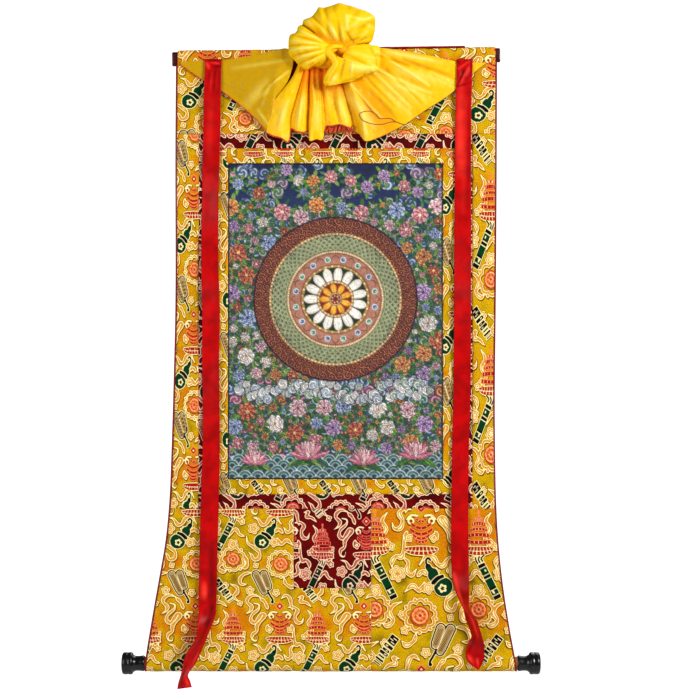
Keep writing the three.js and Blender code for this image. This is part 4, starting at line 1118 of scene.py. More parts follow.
def brocade(tree, ground, threads):
    """Silk brocade, jacquard woven: a satin ground, with motifs in thicker matt threads that stand
    a little out of it. The eye gets a soft gleam with fine slanting lines, and crisp pale edges."""
    base = add(tree, "ValToRGB", ["zone"], stops=list(zip((0, 0.2, 0.45, 0.85), map(tint, ground))))
    # satin floats 0.35 mm apart, drawn 1.7 mm apart so that they show
    turn = add(tree, "Mapping", {"Vector": "lay", "Rotation": (0, 0, math.radians(58))})
    floats = add(tree, "TexWave", {"Vector": turn, "Scale": BAND / 1.7, "Distortion": 2.6,
                                   "Detail": 2, "Detail Scale": 1.4}).outputs["Fac"]
    speck = add(tree, "TexNoise", {"Vector": "lay", "Scale": 0.6, "Detail": 3})
    shade = add(tree, "Math", [floats, 0.4, speck], operation="MULTIPLY_ADD")
    light = add(tree, "MapRange", [shade, 0.42, 1, 0.5, 1.24])
    tone = add(tree, "Mix", {0: 1, 6: base, 7: light}, **DARKEN)
    # inside its shape the cream thread makes lines 1.2 mm wide and 2.7 mm apart, over a softer fill
    patch = add(tree, "MapRange", [speck, 0.4, 0.6])
    pale, vein = tint(threads["fill"]), tint(threads["vein"])
    fill = add(tree, "Mix", {0: patch, 6: pale, 7: vein}, **COVER)
    inset = add(tree, "Math", ["cream", 0.6])
    depth = add(tree, "Math", [inset, 1.35], operation="PINGPONG")
    rim = add(tree, "Math", ["green", "dark"], operation="MINIMUM")
    motif = add(tree, "Math", ["cream", rim], operation="MINIMUM")
    inside = add(tree, "MapRange", ["cream", -0.3, 0.3, 1, 0])
    raised = add(tree, "MapRange", [motif, -0.3, 0.7, 1, 0])
    # each colour covers by its full share below the first distance and not at all past the second;
    # the first two rows are painted shade: the narrow shadow that a motif throws to its lower
    # right, and a dark rim just outside the cream thread
    for distance, low, high, full, ink in (
        ("shade", 0, 1, 0.85, tint(threads["edge"])),
        ("cream", 0.25, 0.85, 1, tint(threads["edge"])),
        ("cream", -0.3, 0.3, 1, fill),
        (depth, 0.4, 0.84, inside, tint(threads["cream"])),
        (rim, 0.6, 1.2, 1, tint(threads["cream"])),
        *((ink, -0.3, 0.3, 1, tint(threads[ink])) for ink in INKS[1:]),
    ):
        cover = add(tree, "MapRange", [distance, low, high, full, 0])
        tone = add(tree, "Mix", {0: cover, 6: tone, 7: ink}, **COVER)
        if distance is depth:
            line = cover
    height = add(tree, "Math", [raised, 1.3, shade], operation="MULTIPLY_ADD")
    height = add(tree, "Math", [line, 0.9, height], operation="MULTIPLY_ADD")
    bump = add(tree, "Bump", {"Strength": 0.6, "Distance": 0.0003, "Height": height})
    return {"Base Color": tone, "Normal": bump, "Roughness": 0.5, "IOR": 1.54,
            "Specular IOR Level": 0.12}


def cotton(tree, colour, pitch):
    """Plain woven cotton lining: dull, with a grid of threads 0.5 mm apart, drawn at the pitch."""
    place = add(tree, "TexCoord", {}).outputs["Object"]
    wave = {"Vector": place, "Scale": BAND / (pitch * MM), "Distortion": 1}
    warp, weft = (add(tree, "TexWave", wave, bands_direction=way).outputs["Fac"] for way in "XZ")
    weave = add(tree, "Math", [warp, weft], operation="MULTIPLY")
    wear = add(tree, "TexNoise", {"Vector": place, "Scale": 18, "Detail": 4})
    shade = add(tree, "Math", [weave, 0.3, wear], operation="MULTIPLY_ADD")
    light = add(tree, "MapRange", [shade, 0.3, 0.95, 0.78, 1.12])
    tone = add(tree, "Mix", {0: 1, 6: tint(colour), 7: light}, **DARKEN)
    bump = add(tree, "Bump", {"Strength": 0.4, "Distance": 0.0002, "Height": weave})
    return {"Base Color": tone, "Normal": bump, "Roughness": 0.85, "IOR": 1.5}


def painted_cloth(tree):
    """Gouache on sized cotton: matt colour with thin dark contours over a fine weave."""
    tone = "paint"
    for contour, ink, half in (("waves", "#232c46", 0.28), ("petals", "#241c2c", 0.32),
                               ("rings", "#4c2a26", 0.3)):
        line = add(tree, "Math", [contour], operation="ABSOLUTE")
        cover = add(tree, "MapRange", [line, half - 0.3, half + 0.3, 0.75, 0])
        tone = add(tree, "Mix", {0: cover, 6: tone, 7: tint(ink)}, **COVER)
    fleck = add(tree, "TexNoise", {"Vector": "lay", "Scale": 0.55, "Detail": 3})
    light = add(tree, "MapRange", [fleck, 0.3, 0.7, 0.84, 1.16])
    tone = add(tree, "Mix", {0: 1, 6: tone, 7: light}, **DARKEN)
    # threads of the ground cloth 0.6 mm apart, drawn 1.4 mm apart
    weave = add(tree, "TexChecker", {"Vector": "lay", "Scale": 1 / 1.4}).outputs["Fac"]
    bump = add(tree, "Bump", {"Strength": 0.25, "Distance": 0.0002, "Height": weave})
    return {"Base Color": tone, "Normal": bump, "Roughness": 0.78, "IOR": 1.5}


def satin(tree, colour, deep):
    """Polyester satin ribbon: smooth weft floats give it a soft gleam, and every dent shows, with
    painted highlights and painted shade laid over its dents and folds.
    """
    soft = add(tree, "TexNoise", {"Vector": "lay", "Scale": 1 / 22, "Detail": 2})
    cloud = add(tree, "MapRange", [soft, 0.38, 0.66, 0, 0.65])
    edge = add(tree, "MapRange", ["edge", 0.7, 1.5, 0.3, 0])
    tone = tint(colour)
    # random darker patches, then the painted highlights of gleam and the painted shade of dusk, and
    # the deep colour along the edges
    for cover, ink in ((cloud, deep), ("gleam", "#ff4436"), ("dusk", "#6a0006"), (edge, deep)):
        tone = add(tree, "Mix", {0: cover, 6: tone, 7: tint(ink)}, **COVER)
    # ribs 0.4 mm apart across the ribbon, drawn 1.5 mm apart
    wave = {"Vector": "lay", "Scale": BAND / 1.5, "Distortion": 1.2, "Detail": 1}
    ribs = add(tree, "TexWave", wave, bands_direction="Y").outputs["Fac"]
    bump = add(tree, "Bump", {"Strength": 0.18, "Distance": 0.0002, "Height": ribs})
    return {"Base Color": tone, "Normal": bump, "Roughness": 0.4, "IOR": 1.5,
            "Specular IOR Level": 0.2}


def cover_silk(tree, colour, fold):
    """Thin habotai silk, plain woven, its light and shade painted from its layers: pale highlights
    on its crests and ridges, mustard shade in its creases, orange shade deep in its folds and about
    the rosette's knot, and a duller shade over the left wing."""
    place = add(tree, "TexCoord", {}).outputs["Object"]
    cloud = add(tree, "TexNoise", {"Vector": place, "Scale": 34, "Detail": 3, "Distortion": 1.2})
    pale = add(tree, "MapRange", [cloud, 0.42, 0.68, 0, 0.45])
    tone = tint(colour)
    # random paler patches, then painted light: the left wing's shade, highlights on crests, shade
    # in creases and orange shade deep in the folds
    for cover, ink in ((pale, "#ffdf1c"), ("sheer", "#c09600"), ("crest", "#ffee78"),
                       ("hollow", "#cf9400"), ("glow", fold)):
        tone = add(tree, "Mix", {0: cover, 6: tone, 7: tint(ink)}, **COVER)
    # threads 0.2 mm apart, drawn 1.2 mm apart, and creases 14 mm apart where the silk was folded
    weave = add(tree, "TexNoise", {"Vector": place, "Scale": 1 / (1.2 * MM), "Detail": 2})
    facets = add(tree, "TexVoronoi", {"Vector": place, "Scale": 1 / (14 * MM)}, feature="F1")
    facets = facets.outputs["Distance"]
    height = add(tree, "Math", [facets, 4.5, weave], operation="MULTIPLY_ADD")
    bump = add(tree, "Bump", {"Strength": 0.35, "Distance": 0.0005, "Height": height})
    return {"Base Color": tone, "Normal": bump, "Roughness": 0.42, "IOR": 1.54,
            "Specular IOR Level": 0.2}


def thread(tree, colour, other):
    """Overlocked polyester thread: short slanting stitches of two shades, with a slight gloss."""
    place = add(tree, "TexCoord", {}).outputs["Object"]
    # stitches 1 mm apart, drawn 2 mm apart along an axis, where diagonal bands lie 2 BAND apart
    wave = {"Vector": place, "Scale": 2 * BAND / (2 * MM), "Distortion": 1.5}
    wrap = add(tree, "TexWave", wave, bands_direction="DIAGONAL").outputs["Fac"]
    tone = add(tree, "Mix", {0: wrap, 6: tint(colour), 7: tint(other)}, **COVER)
    bump = add(tree, "Bump", {"Strength": 0.5, "Distance": 0.0004, "Height": wrap})
    return {"Base Color": tone, "Normal": bump, "Roughness": 0.5, "IOR": 1.5, "Sheen Weight": 0.3}


def wood(tree, colour, dark, gloss, grain_mm, coat):
    """Turned or planed wood: long grain along X at that spacing, stained, lacquered or bare."""
    place = add(tree, "TexCoord", {}).outputs["Object"]
    long = add(tree, "Mapping", {"Vector": place, "Scale": (0.06, 1, 1)})
    grain = add(tree, "TexNoise", {"Vector": long, "Scale": 1 / (grain_mm * MM), "Detail": 5})
    worn = add(tree, "TexNoise", {"Vector": place, "Scale": 60, "Detail": 3})
    cover = add(tree, "MapRange", [grain, 0.35, 0.68, 0, 1])
    tone = add(tree, "Mix", {0: cover, 6: tint(colour), 7: tint(dark)}, **COVER)
    rough = add(tree, "MapRange", [worn, 0.35, 0.65, gloss - 0.06, gloss + 0.1])
    bump = add(tree, "Bump", {"Strength": 0.2, "Distance": 0.0002, "Height": grain})
    return {"Base Color": tone, "Normal": bump, "Roughness": rough, "IOR": 1.5,
            "Coat Weight": coat, "Coat Roughness": 0.12}


# in a brocade's threads, edge is the colour of the painted shade below and round its motifs
RECIPES = {
    "yellow_brocade": (
        brocade, ("#a17a00", "olive_ground", "gold_ground", "amber_ground"),
        {"cream": "cream_thread", "fill": "#d9a53c", "edge": "#6c4600", "vein": "#e08f3c",
         "coral": "coral_thread", "crimson": "#ae200c", "green": "green_thread",
         "dark": "dark_thread", "light": "#fde6ac", "husk": "#bd9a60", "rib": "#30160c"},
    ),
    "red_brocade": (
        brocade, ("#4c0002", "#5c0002", "red_ground", "#860204"),
        {"cream": "#fbdcb6", "fill": "#c87860", "edge": "#2c0006", "vein": "#a8473c",
         "coral": "#e0705c", "crimson": "#a80c10", "green": "#04301c", "dark": "#0c070c",
         "light": "#f6c8ac", "husk": "#b07a58", "rib": "#2a1014"},
    ),
    "cotton_lining": (cotton, "#b98a1e", 1.3),
    "painted_cotton": (painted_cloth,),
    "red_satin": (satin, "satin", "#8e0206"),
    "habotai_silk": (cover_silk, "silk", "silk_fold"),
    "overlock_thread": (thread, "#f05a12", "#b82c08"),
    "overlock_thread_brown": (thread, "#b8700c", "#70300a"),
    "binding_cotton": (cotton, "binding", 0.9),
    "tape_satin": (satin, "#a40a1e", "#5a0612"),
    "stained_batten": (wood, "#5c0d14", "#2c0508", 0.4, 1.4, 0),
    "bare_dowel": (wood, "#a8814f", "#7a5529", 0.65, 1.2, 0),
    "lacquered_knob": (wood, "lacquer", "#040405", 0.3, 1, 0.4),
    "pale_floor": (cotton, "#f1efec", 4),
}
FINISHES = {}


def finish(name):
    """The finish of that name, made from its recipe when it is first called for. A recipe returns
    what goes into the shader that ends it."""
    if name not in FINISHES:
        FINISHES[name] = bpy.data.materials.new(name)
        FINISHES[name].use_nodes = True
        tree = FINISHES[name].node_tree
        tree.nodes.clear()
        recipe, *values = RECIPES[name]
        shader = add(tree, "BsdfPrincipled", recipe(tree, *values))
        add(tree, "OutputMaterial", {"Surface": shader})
    return FINISHES[name]


# ---- cutting and sewing ----


def grid(left, right, top, bottom, cell):
    """Shares across and drops down of a grid whose cells are about that size, in whole steps of the
    back."""
    columns, rows = (max(1, round(length / cell / BACK_STEP)) * BACK_STEP
                     for length in (right - left, bottom - top))
    return np.linspace(0, 1, columns + 1)[None], np.linspace(top, bottom, rows + 1)[:, None]


def between(corners, u, v):
    """x and drop at shares u across and v down between corners, clockwise from the top left."""
    a, b, c, d = np.array(corners, float)
    return [(a[k] * (1 - u) + b[k] * u) * (1 - v) + (d[k] * (1 - u) + c[k] * u) * v for k in (0, 1)]


def hang(name, x, drop, place, slot):
    """Hangs a lined brocade panel over points of the cloth. Its motifs stand
    out by the thread relief, and its face sinks by SINK exp(-d/SINK_REACH) at d from a sewn edge."""
    sizes = bpy.context.scene.scroll_sizes
    inks = place(x, drop) if callable(place) else woven(x, drop, place)
    i, j = (np.minimum(np.arange(n), np.arange(n)[::-1]) * sizes.brocade_cell / MM for n in x.shape)
    sink = SINK * (np.exp(-j[None] / SINK_REACH) + np.exp(-i[:, None] / SINK_REACH))
    motif = np.minimum.reduce([inks[ink] for ink in RAISED])
    relief = sizes.thread_relief / MM * (1 - ease(motif, -0.3, 0.6)) - sink
    relief = relief + 0.22 * drift(x, drop, 19) + 0.12 * drift(x, drop, 7, 2)
    layers = {**inks, "lay": np.stack([x, drop, 0 * x], -1)}
    skin = shell(cloth_at(x, drop), PANEL, layers, BACK_STEP, relief, 1)
    piece = settle(put(name, [skin], [finish(slot), finish("cotton_lining")]), slot, name)


def sewn(name, left, right, top, bottom, place, slot):
    """Hangs a panel between two edges, each a function of the drop or a number."""

    def edge(side, drop):
        """Where a side lies at each drop, as a function gives it or at one place for all."""
        return side(drop) if callable(side) else side + 0 * drop

    cell, middle = bpy.context.scene.scroll_sizes.brocade_cell / MM, (top + bottom) / 2
    u, drop = grid(float(edge(left, middle)), float(edge(right, middle)), top, bottom, cell)
    start, end = edge(left, drop) + SEAM / 2, edge(right, drop) - SEAM / 2
    x = start + (end - start) * u
    hang(name, x, drop + 0 * x, place, slot)


def mitred(name, corners, place, slot):
    """Hangs a border strip with mitred ends, its corners clockwise from the top left."""
    cell = bpy.context.scene.scroll_sizes.brocade_cell / MM
    a, b, c, d = np.array(corners, float)
    width, height = np.linalg.norm((b + c - a - d) / 2), np.linalg.norm((d + c - a - b) / 2)
    u, v = grid(0, width, 0, height, cell)
    x, drop = between(corners, u, v / height)
    hang(name, x, drop, place, slot)


def grown(box, by):
    """A box with its sides moved out."""
    left, right, top, bottom = box
    return left - by, right + by, top - by, bottom + by


INNER_FRAME = grown(PICTURE, INNER_BORDER)
OUTER_FRAME = grown(INNER_FRAME, OUTER_BORDER)
HEAD_START = SLEEVE_BACK - SLEEVE_FLAP
FOOT_END = ROLLER_DROP + ROLLER_ARC + POCKET_FLAP


def left_edge(drop):
    """Where the yellow panels start at a drop: the cloth's edge, and the binding's width in."""
    return cloth_edge(drop)[..., 0] + BINDING


def right_edge(drop):
    """Where they end: the cloth's other edge, less the width of its binding."""
    return cloth_edge(drop)[..., 1] - BINDING


def border(prefix, box, width, slot, places):
    """The four mitred strips of a border round a box."""
    (l, r, t, b), (wl, wr, wt, wb) = box, grown(box, width)
    strips = {
        "top": [(wl, wt), (wr, wt), (r, t), (l, t)],
        "bottom": [(l, b), (r, b), (wr, wb), (wl, wb)],
        "left": [(wl, wt), (l, t), (l, b), (wl, wb)],
        "right": [(r, t), (wr, wt), (wr, wb), (r, b)],
    }
    for side, corners in strips.items():
        mitred(f"{prefix}_{side}", corners, places[side], slot)


class SCROLL_OT_camera(Operator):
    """Sets the camera square to the scroll's face"""

    bl_idname = "scroll.camera"
    bl_label = "Camera"

    def execute(self, context):
        distance = context.scene.scroll_sizes.camera_distance
        data = bpy.data.cameras.new("camera")
        data.sensor_width = SENSOR
        data.lens = SENSOR / 2 * (distance - CLOTH_OUT) / HALF_VIEW
        camera = bpy.data.objects.new("camera", data)
        camera.location = (VIEW_X, -distance, VIEW_Z)
        camera.rotation_euler = (math.radians(90), 0, 0)
        context.scene.collection.objects.link(camera)
        context.scene.camera = camera
        return {"FINISHED"}


class SCROLL_OT_stage(Operator):
    """Lays a pale floor under the scroll and lights it softly"""

    bl_idname = "scroll.stage"
    bl_label = "Stage"

    def execute(self, context):
        scene = context.scene
        scene.view_settings.view_transform = "Standard"
        scene.view_settings.look = "Medium High Contrast"
        across = np.linspace(-FLOOR_HALF, FLOOR_HALF, 9)
        u, v = np.meshgrid(across, across[::-1])
        points = np.stack([u, v, 0 * u - FLOOR_DROP], -1)
        floor = put("floor", [shell(points, FLOOR_THICK)], [finish("pale_floor")])
        for name, place, size, power in LAMPS:
            lamp = bpy.data.lights.new(name, "AREA")
            lamp.size, lamp.energy = size, power
            held = bpy.data.objects.new(name, lamp)
            held.location = place
            aim = Vector(LIGHT_AIM) - held.location
            held.rotation_euler = aim.to_track_quat("-Z", "Y").to_euler()
            scene.collection.objects.link(held)
        world = bpy.data.worlds.new("studio")
        world.use_nodes = True
        tree = world.node_tree
        tree.nodes.clear()
        seen = add(tree, "LightPath", {}).outputs["Is Camera Ray"]
        power = add(tree, "MapRange", {0: seen, 3: ROOM_LIGHT, 4: 1})
        sky = add(tree, "Background", {"Color": (1, 1, 1, 1), "Strength": power})
        add(tree, "OutputWorld", {"Surface": sky})
        scene.world = world
        return {"FINISHED"}


class SCROLL_OT_panels(Operator):
    """Cuts and hangs the yellow brocade panels and the inner border"""

    bl_idname = "scroll.panels"
    bl_label = "Yellow brocade"

    def execute(self, context):
        left, right, top, bottom = OUTER_FRAME
        door_left, door_right, depth = DOOR
        high, low, foot = top + SEAM / 2, bottom - SEAM / 2, bottom + SEAM / 2

        def two_halves(x, drop):
            """One repeat left of the join and another right of it."""
            a, b = woven(x, drop, "top_left"), woven(x, drop, "top_right")
            return {ink: np.where(x < TOP_JOIN, a[ink], b[ink]) for ink in a}

        for name, start, end, head, tail, place, rest in (
            ("top_panel", left_edge, right_edge, HEAD_START, top - SEAM / 2, two_halves, "batten"),
            ("side_panel_left", left_edge, left, high, low, "side_left", "top_panel"),
            ("side_panel_right", right, right_edge, high, low, "side_right", "top_panel"),
            ("lower_panel_left", left_edge, door_left, foot, FOOT_END, "lower_left", "roller"),
            ("lower_panel_right", door_right, right_edge, foot, FOOT_END, "lower_right", "roller"),
            ("lower_panel_centre", door_left, door_right, bottom + depth + SEAM / 2, FOOT_END,
             "lower_left", "roller"),
        ):
            sewn(name, start, end, head, tail, place, "yellow_brocade")
        border("inner_border", PICTURE, INNER_BORDER, "yellow_brocade",
               {side: f"inner_{side}" for side in ("top", "bottom", "left", "right")})
        return {"FINISHED"}


class SCROLL_OT_red_brocade(Operator):
    """Cuts and hangs the red brocade border and the door below it"""

    bl_idname = "scroll.red_brocade"
    bl_label = "Red brocade"

    def execute(self, context):
        places = {"top": "outer_top", "bottom": "outer_bottom"}
        border("outer_border", INNER_FRAME, OUTER_BORDER, "red_brocade",
               {**places, "left": "outer_side", "right": "outer_side"})
        left, right, depth = DOOR
        top = OUTER_FRAME[3]
        sewn("door_panel", left, right, top + SEAM / 2, top + depth - SEAM / 2, "door",
             "red_brocade")
        return {"FINISHED"}


class SCROLL_OT_picture(Operator):
    """Stretches the painted cotton in its borders"""

    bl_idname = "scroll.picture"
    bl_label = "Picture"

    def execute(self, context):
        left, right, top, bottom = PICTURE
        cell = context.scene.scroll_sizes.picture_cell / MM
        u, drop = grid(left, right, top + SEAM / 2, bottom - SEAM / 2, cell)
        x = left + SEAM / 2 + (right - left - SEAM) * u + 0 * drop
        drop = drop + 0 * x
        colour, lines = draw_picture(x - (left + right) / 2, drop - top)
        edge = np.minimum.reduce([x - left, right - x, drop - top, bottom - drop])
        relief = 0.12 * drift(x, drop, 31) + 0.05 * drift(x, drop, 9, 4)
        relief = relief - SINK * np.exp(-edge / SINK_REACH)
        layers = {**lines, "paint": colour, "lay": np.stack([x, drop, 0 * x], -1)}
        skin = shell(cloth_at(x, drop), PANEL, layers, BACK_STEP, relief, 1)
        piece = put("picture_cloth", [skin], [finish("painted_cotton"), finish("cotton_lining")])
        settle(piece, "picture_cloth", "picture")
        return {"FINISHED"}


class SCROLL_OT_bindings(Operator):
    """Sews the narrow dark red binding to each side edge"""

    bl_idname = "scroll.bindings"
    bl_label = "Bindings"

    def execute(self, context):
        drop = np.linspace(*BINDING_SPAN, 617)[:, None]
        u = np.linspace(-0.5, 0.5, 5)[None]
        for name, edge, side in (("left", 0, 1), ("right", 1, -1)):
            x = cloth_edge(drop)[..., edge] + side * BINDING / 2 + u * (BINDING - SEAM)
            relief = 0.25 * (1 - (2 * u) ** 2) + 0.05 * drift(drop, u, 3)
            skin = shell(cloth_at(x, drop + 0 * x), PANEL, relief=relief + 0 * x)
            piece = put(f"side_binding_{name}", [skin], [finish("binding_cotton")])
            settle(piece, "red_binding", f"binding_{name}")
        return {"FINISHED"}


def smoothed(across, along):
    """The layers of plain satin: its place on its cut, no edge within 9 mm, and no painted
    highlights or painted shade.
    """
    none = 0 * across
    place = np.stack([across, along, none], -1)
    return {"lay": place, "edge": 9 + none, "gleam": none, "dusk": none}


class SCROLL_OT_tape(Operator):
    """Lays the dark red tape over the crest of the sleeve, and the tie behind the cover's slit"""

    bl_idname = "scroll.tape"
    bl_label = "Tape and tie"

    def execute(self, context):
        # the tape: an arc about the batten, over the sleeve from its back to its front
        radius = BATTEN_TURN + PANEL + PLAY
        x, turn = np.meshgrid(np.linspace(*TAPE_SPAN, 185), np.linspace(0.85, 0.23, 17) * math.pi)
        swell = radius + 0.15 * drift(x, turn * 9, 8)
        points = np.stack([
            x, -BATTEN_WALL - swell * np.cos(turn),
            -BATTEN_TURN + swell * np.sin(turn) + BATTEN_SLOPE * x,
        ], -1)
        skin = shell(points, PANEL, smoothed(turn * radius, x))
        piece = put("crest_tape", [skin], [finish("tape_satin")])
        settle(piece, "red_tape", "hanging_tape")
        u, v = np.meshgrid(np.linspace(0, 1, 25), np.linspace(0, 1, 49))
        x, drop = between(TIE, u, v)
        out = PANEL / 2 + PLAY + SILK / 2 + 0.4 + 0.25 * np.sin(9 * u + 2 * v)
        skin = shell(before(x, drop, out), SILK, smoothed(x, drop))
        piece = put("tie_silk", [skin], [finish("tape_satin")])
        settle(piece, "red_tape", "tie_tail")
        return {"FINISHED"}


def strokes(x, drop, lines):
    """The sum over lines of strength exp(-(d/width)^2) at a distance of d from each line."""
    total = 0 * x
    for ax, ad, bx, bd, width, strength in lines:
        dx, dd = bx - ax, bd - ad
        t = np.clip(((x - ax) * dx + (drop - ad) * dd) / (dx * dx + dd * dd), 0, 1)
        away = np.hypot(x - ax - t * dx, drop - ad - t * dd)
        taper = 0.35 + 0.65 * np.sin(math.pi * np.clip(0.12 + 0.8 * t, 0, 1))
        total = total + strength * taper * np.exp(-((away / width) ** 2))
    return total


class SCROLL_OT_ribbons(Operator):
    """Hangs the two satin ribbons, doubled at their tops and twisted at their feet"""

    bl_idname = "scroll.ribbons"
    bl_label = "Ribbons"

    def execute(self, context):
        full = context.scene.scroll_sizes.ribbon_width / MM
        for name, rows, doubled in RIBBONS:
            route = through([row[0] for row in rows], [row[1:] for row in rows])
            drop = np.linspace(rows[0][0], rows[-1][0], RIBBON_ROWS)[:, None]
            u = np.linspace(-0.5, 0.5, RIBBON_COLUMNS)[None]
            x, width, turn, out = (route(drop)[..., k] for k in range(4))
            reach = u * full * width
            # it turns about its middle, dents as it hangs, and crumples where it is doubled
            sway = 7 * np.sin(drop / 47) * ease(drop, 110, 200) * (1 - ease(drop, 720, 780))
            angle = np.radians(turn + sway)
            top = 1 - ease(drop, doubled - 1.2, doubled)
            dents = 0.35 * drift(u * 30, drop, 13) + 0.5 * drift(0 * u, drop, 26, 5)
            crumple = top * (0.5 + 0.35 * drift(u * 24 + drop * 0.4, drop - u * 9, 6, 2))
            light = strokes(u * full + 0 * drop, drop + 0 * u, GLEAMS[name])
            out = out + dents * ease(drop, 60, 130) + crumple + (0.4 + 0.5 * top) * light
            points = before(x + 0 * u, drop + 0 * u, out + 0 * u)
            points[..., 0] += reach * np.cos(angle)
            points[..., 1] += reach * np.sin(angle)
            # the strokes that dent the ribbon also paint it: a highlight where they stand out,
            # shade where they press in
            layers = {
                "lay": np.stack([reach + 0 * drop, drop + 0 * u, 0 * reach], -1),
                "edge": full / 2 - np.abs(u * full) + 0 * drop,
                "gleam": np.clip(light * (0.9 + 0.25 * drift(u * 20, drop, 7, 6)), 0, 1),
                "dusk": np.clip(-light * (0.9 + 0.25 * drift(u * 24, drop, 9, 3)), 0, 1),
            }
            skin = shell(points, RIBBON, layers, 2)
            piece = put(f"satin_ribbon_{name}", [skin], [finish("red_satin")])
            settle(piece, "red_satin", f"ribbon_{name}")
        return {"FINISHED"}


def draped(folds, across, along):
    """A grid of x, drop and out over folds: first smoothly along each fold through its points, then
    smoothly from fold to fold. Returns the shares across and along it as well."""
    u, v = np.linspace(0, 1, across + 1), np.linspace(0, 1, along + 1)
    lines = np.stack([through(np.linspace(0, 1, len(fold)), fold)(v) for fold in folds])
    place = np.linspace(0, len(folds) - 1, across + 1)
    grid_of = through(np.arange(len(folds)), lines.reshape(len(folds), -1))(place)
    return grid_of.reshape(across + 1, along + 1, 3).transpose(1, 0, 2), u[None], v[:, None]


def blurred(values, reach, axis):
    """A running mean over 2 reach + 1 rows or columns, with the ends repeated."""
    pads = [(0, 0), (0, 0)]
    pads[axis] = (reach + 1, reach)
    total = np.cumsum(np.pad(values, pads, mode="edge"), axis=axis)
    width, row = 2 * reach + 1, np.arange(values.shape[axis])
    return (np.take(total, row + width, axis) - np.take(total, row, axis)) / width


def silk_skin(grid_of, thickness, front=1.0, fold=0.5, sheer=0.0, shade=0.0):
    """A sheet of silk over a grid of x, drop and out, and where its middle lies. Its creases press
    in where front is 1. Its layers are painted light, read from the creases and from how far it
    lies below or above its own running mean: shade in creases and dips, highlights on ridges and
    swells, and the orange shade and the left wing's shade as given."""
    x, drop, out = np.moveaxis(grid_of, -1, 0)
    press = strokes(x, drop, CREASES) * front
    crumple = 0.35 * drift(x + drop * 0.3, drop - x * 0.2, 7, 3)
    crumple = crumple + 0.22 * drift(x - drop * 0.4, drop, 3.1, 8)
    out = out - press + crumple
    bend = out - blurred(blurred(out, 12, 1), 3, 0)
    lit = np.clip(-press / 2.6, 0, 0.8) + 0.35 * np.clip(bend / 2.6 - 0.25, 0, 1)
    layers = {
        "hollow": np.clip(np.clip(press / 3.4, 0, 0.7) + fold * np.clip(-bend / 2.4, 0, 1), 0, 1),
        "crest": np.clip(lit, 0, 0.9),
        "glow": shade + 0 * x,
        "sheer": sheer + 0 * x,
    }
    return shell(before(x, drop, out), thickness, layers, 2), np.stack([x, drop, out], -1)


class SCROLL_OT_cover(Operator):
    """Hangs the yellow silk cover, open at its slit, with an overlocked hem"""

    bl_idname = "scroll.cover"
    bl_label = "Silk cover"

    def execute(self, context):
        thickness = context.scene.scroll_sizes.silk_sheet / MM
        parts, hems = [], []
        for folds, across, along, sheer in COVER_PARTS:
            sheet, u, v = draped(folds, across, along)
            # small waves that grow toward the free edge, and painted orange shade: some over all of
            # the skirt and the side part, deepest at the skirt's top under the rosette, and more on
            # the side part near the rosette and down a band of it
            if folds is SKIRT_FOLDS:
                sheet[..., 2] += 0.9 * drift(u * 34 + 0.8 * v, v * 2.2, 1, 2) * ease(v, 0.1, 0.5)
                shade = 0.72 * (1 - ease(v, 0.12, 0.62)) * ease(u, 0.12, 0.3) + 0.2 - 0.1 * v
            elif folds is SIDE_FOLDS:
                sheet[..., 2] += 0.5 * drift(u * 17, v * 2, 1, 4) * ease(v, 0.1, 0.3)
                shade = 0.16 + 0.3 * (1 - ease(u, 0, 0.12)) * (1 - ease(v, 0.2, 0.6))
                shade = shade + 0.3 * np.exp(-(((u - 0.3) / 0.09) ** 2))
            else:
                sheet[..., 2] += 0.7 * drift(v * 9 + 2 * u, u * 2.5, 1, 1) * ease(u, 0.1, 0.3)
                shade = 0
            # the left wing's painted shade thins toward the rosette
            sheer = sheer * (1 - 0.35 * ease(u, 0.8, 1))
            skin, made = silk_skin(sheet, thickness, 1, 0.75, sheer, shade)
            parts.append(skin)
            hems.append(before(*np.moveaxis(made[-1] + [0, 0.2, 0], -1, 0)))
        piece = put("cover_silk", parts, [finish("habotai_silk")])
        settle(piece, "yellow_silk", "silk_cover")
        wing, skirt, side = hems
        fine = [tube(skirt[120:180:2], 0.5), tube(side[::2], 0.5)]
        loop = threaded(HEM_LOOP, 120)
        x, drop, out = made.reshape(-1, 3).T
        near = np.argmin(np.hypot(loop[:, :1] - x, loop[:, 1:] - drop), 1)
        fine.append(tube(before(*loop.T, out[near] + 0.6), 0.6))
        rim = settle(put("cover_edging", fine, [finish("overlock_thread_brown")]), "yellow_silk")
        curl = np.linspace(0, 1, 260)
        wave = 4.2 * np.sin(curl * 44) * (1 - 0.4 * curl)
        ruffle = before(-14.4 + 36 * curl, 115.5 - 3 * curl + wave, 8.5 + 2.2 * np.cos(curl * 37))
        bold = [tube(wing[::2], 0.75), tube(skirt[:122:2], 1.2), tube(skirt[178::2], 1.1),
                tube(ruffle, 1), tube(ruffle + [1.6, 0.6, 1.5], 0.8)]
        frill = settle(put("skirt_edging", bold, [finish("overlock_thread")]), "yellow_silk")
        return {"FINISHED"}


def puffed(rows):
    """Folds of a puff from the knot to its rim and back behind: at each of PUFF's stations a fold
    stands that share of the way from its foot to its rim, plus its puff times the share of its
    height, plus the station's out."""
    foot, rim, puff = np.split(np.array(rows, float)[:, None], (3, 6), axis=-1)
    share, high, under = np.array(PUFF).T[..., None]
    folds = foot + (rim - foot) * share
    folds[..., 2:] = folds[..., 2:] + puff * high + under
    return folds


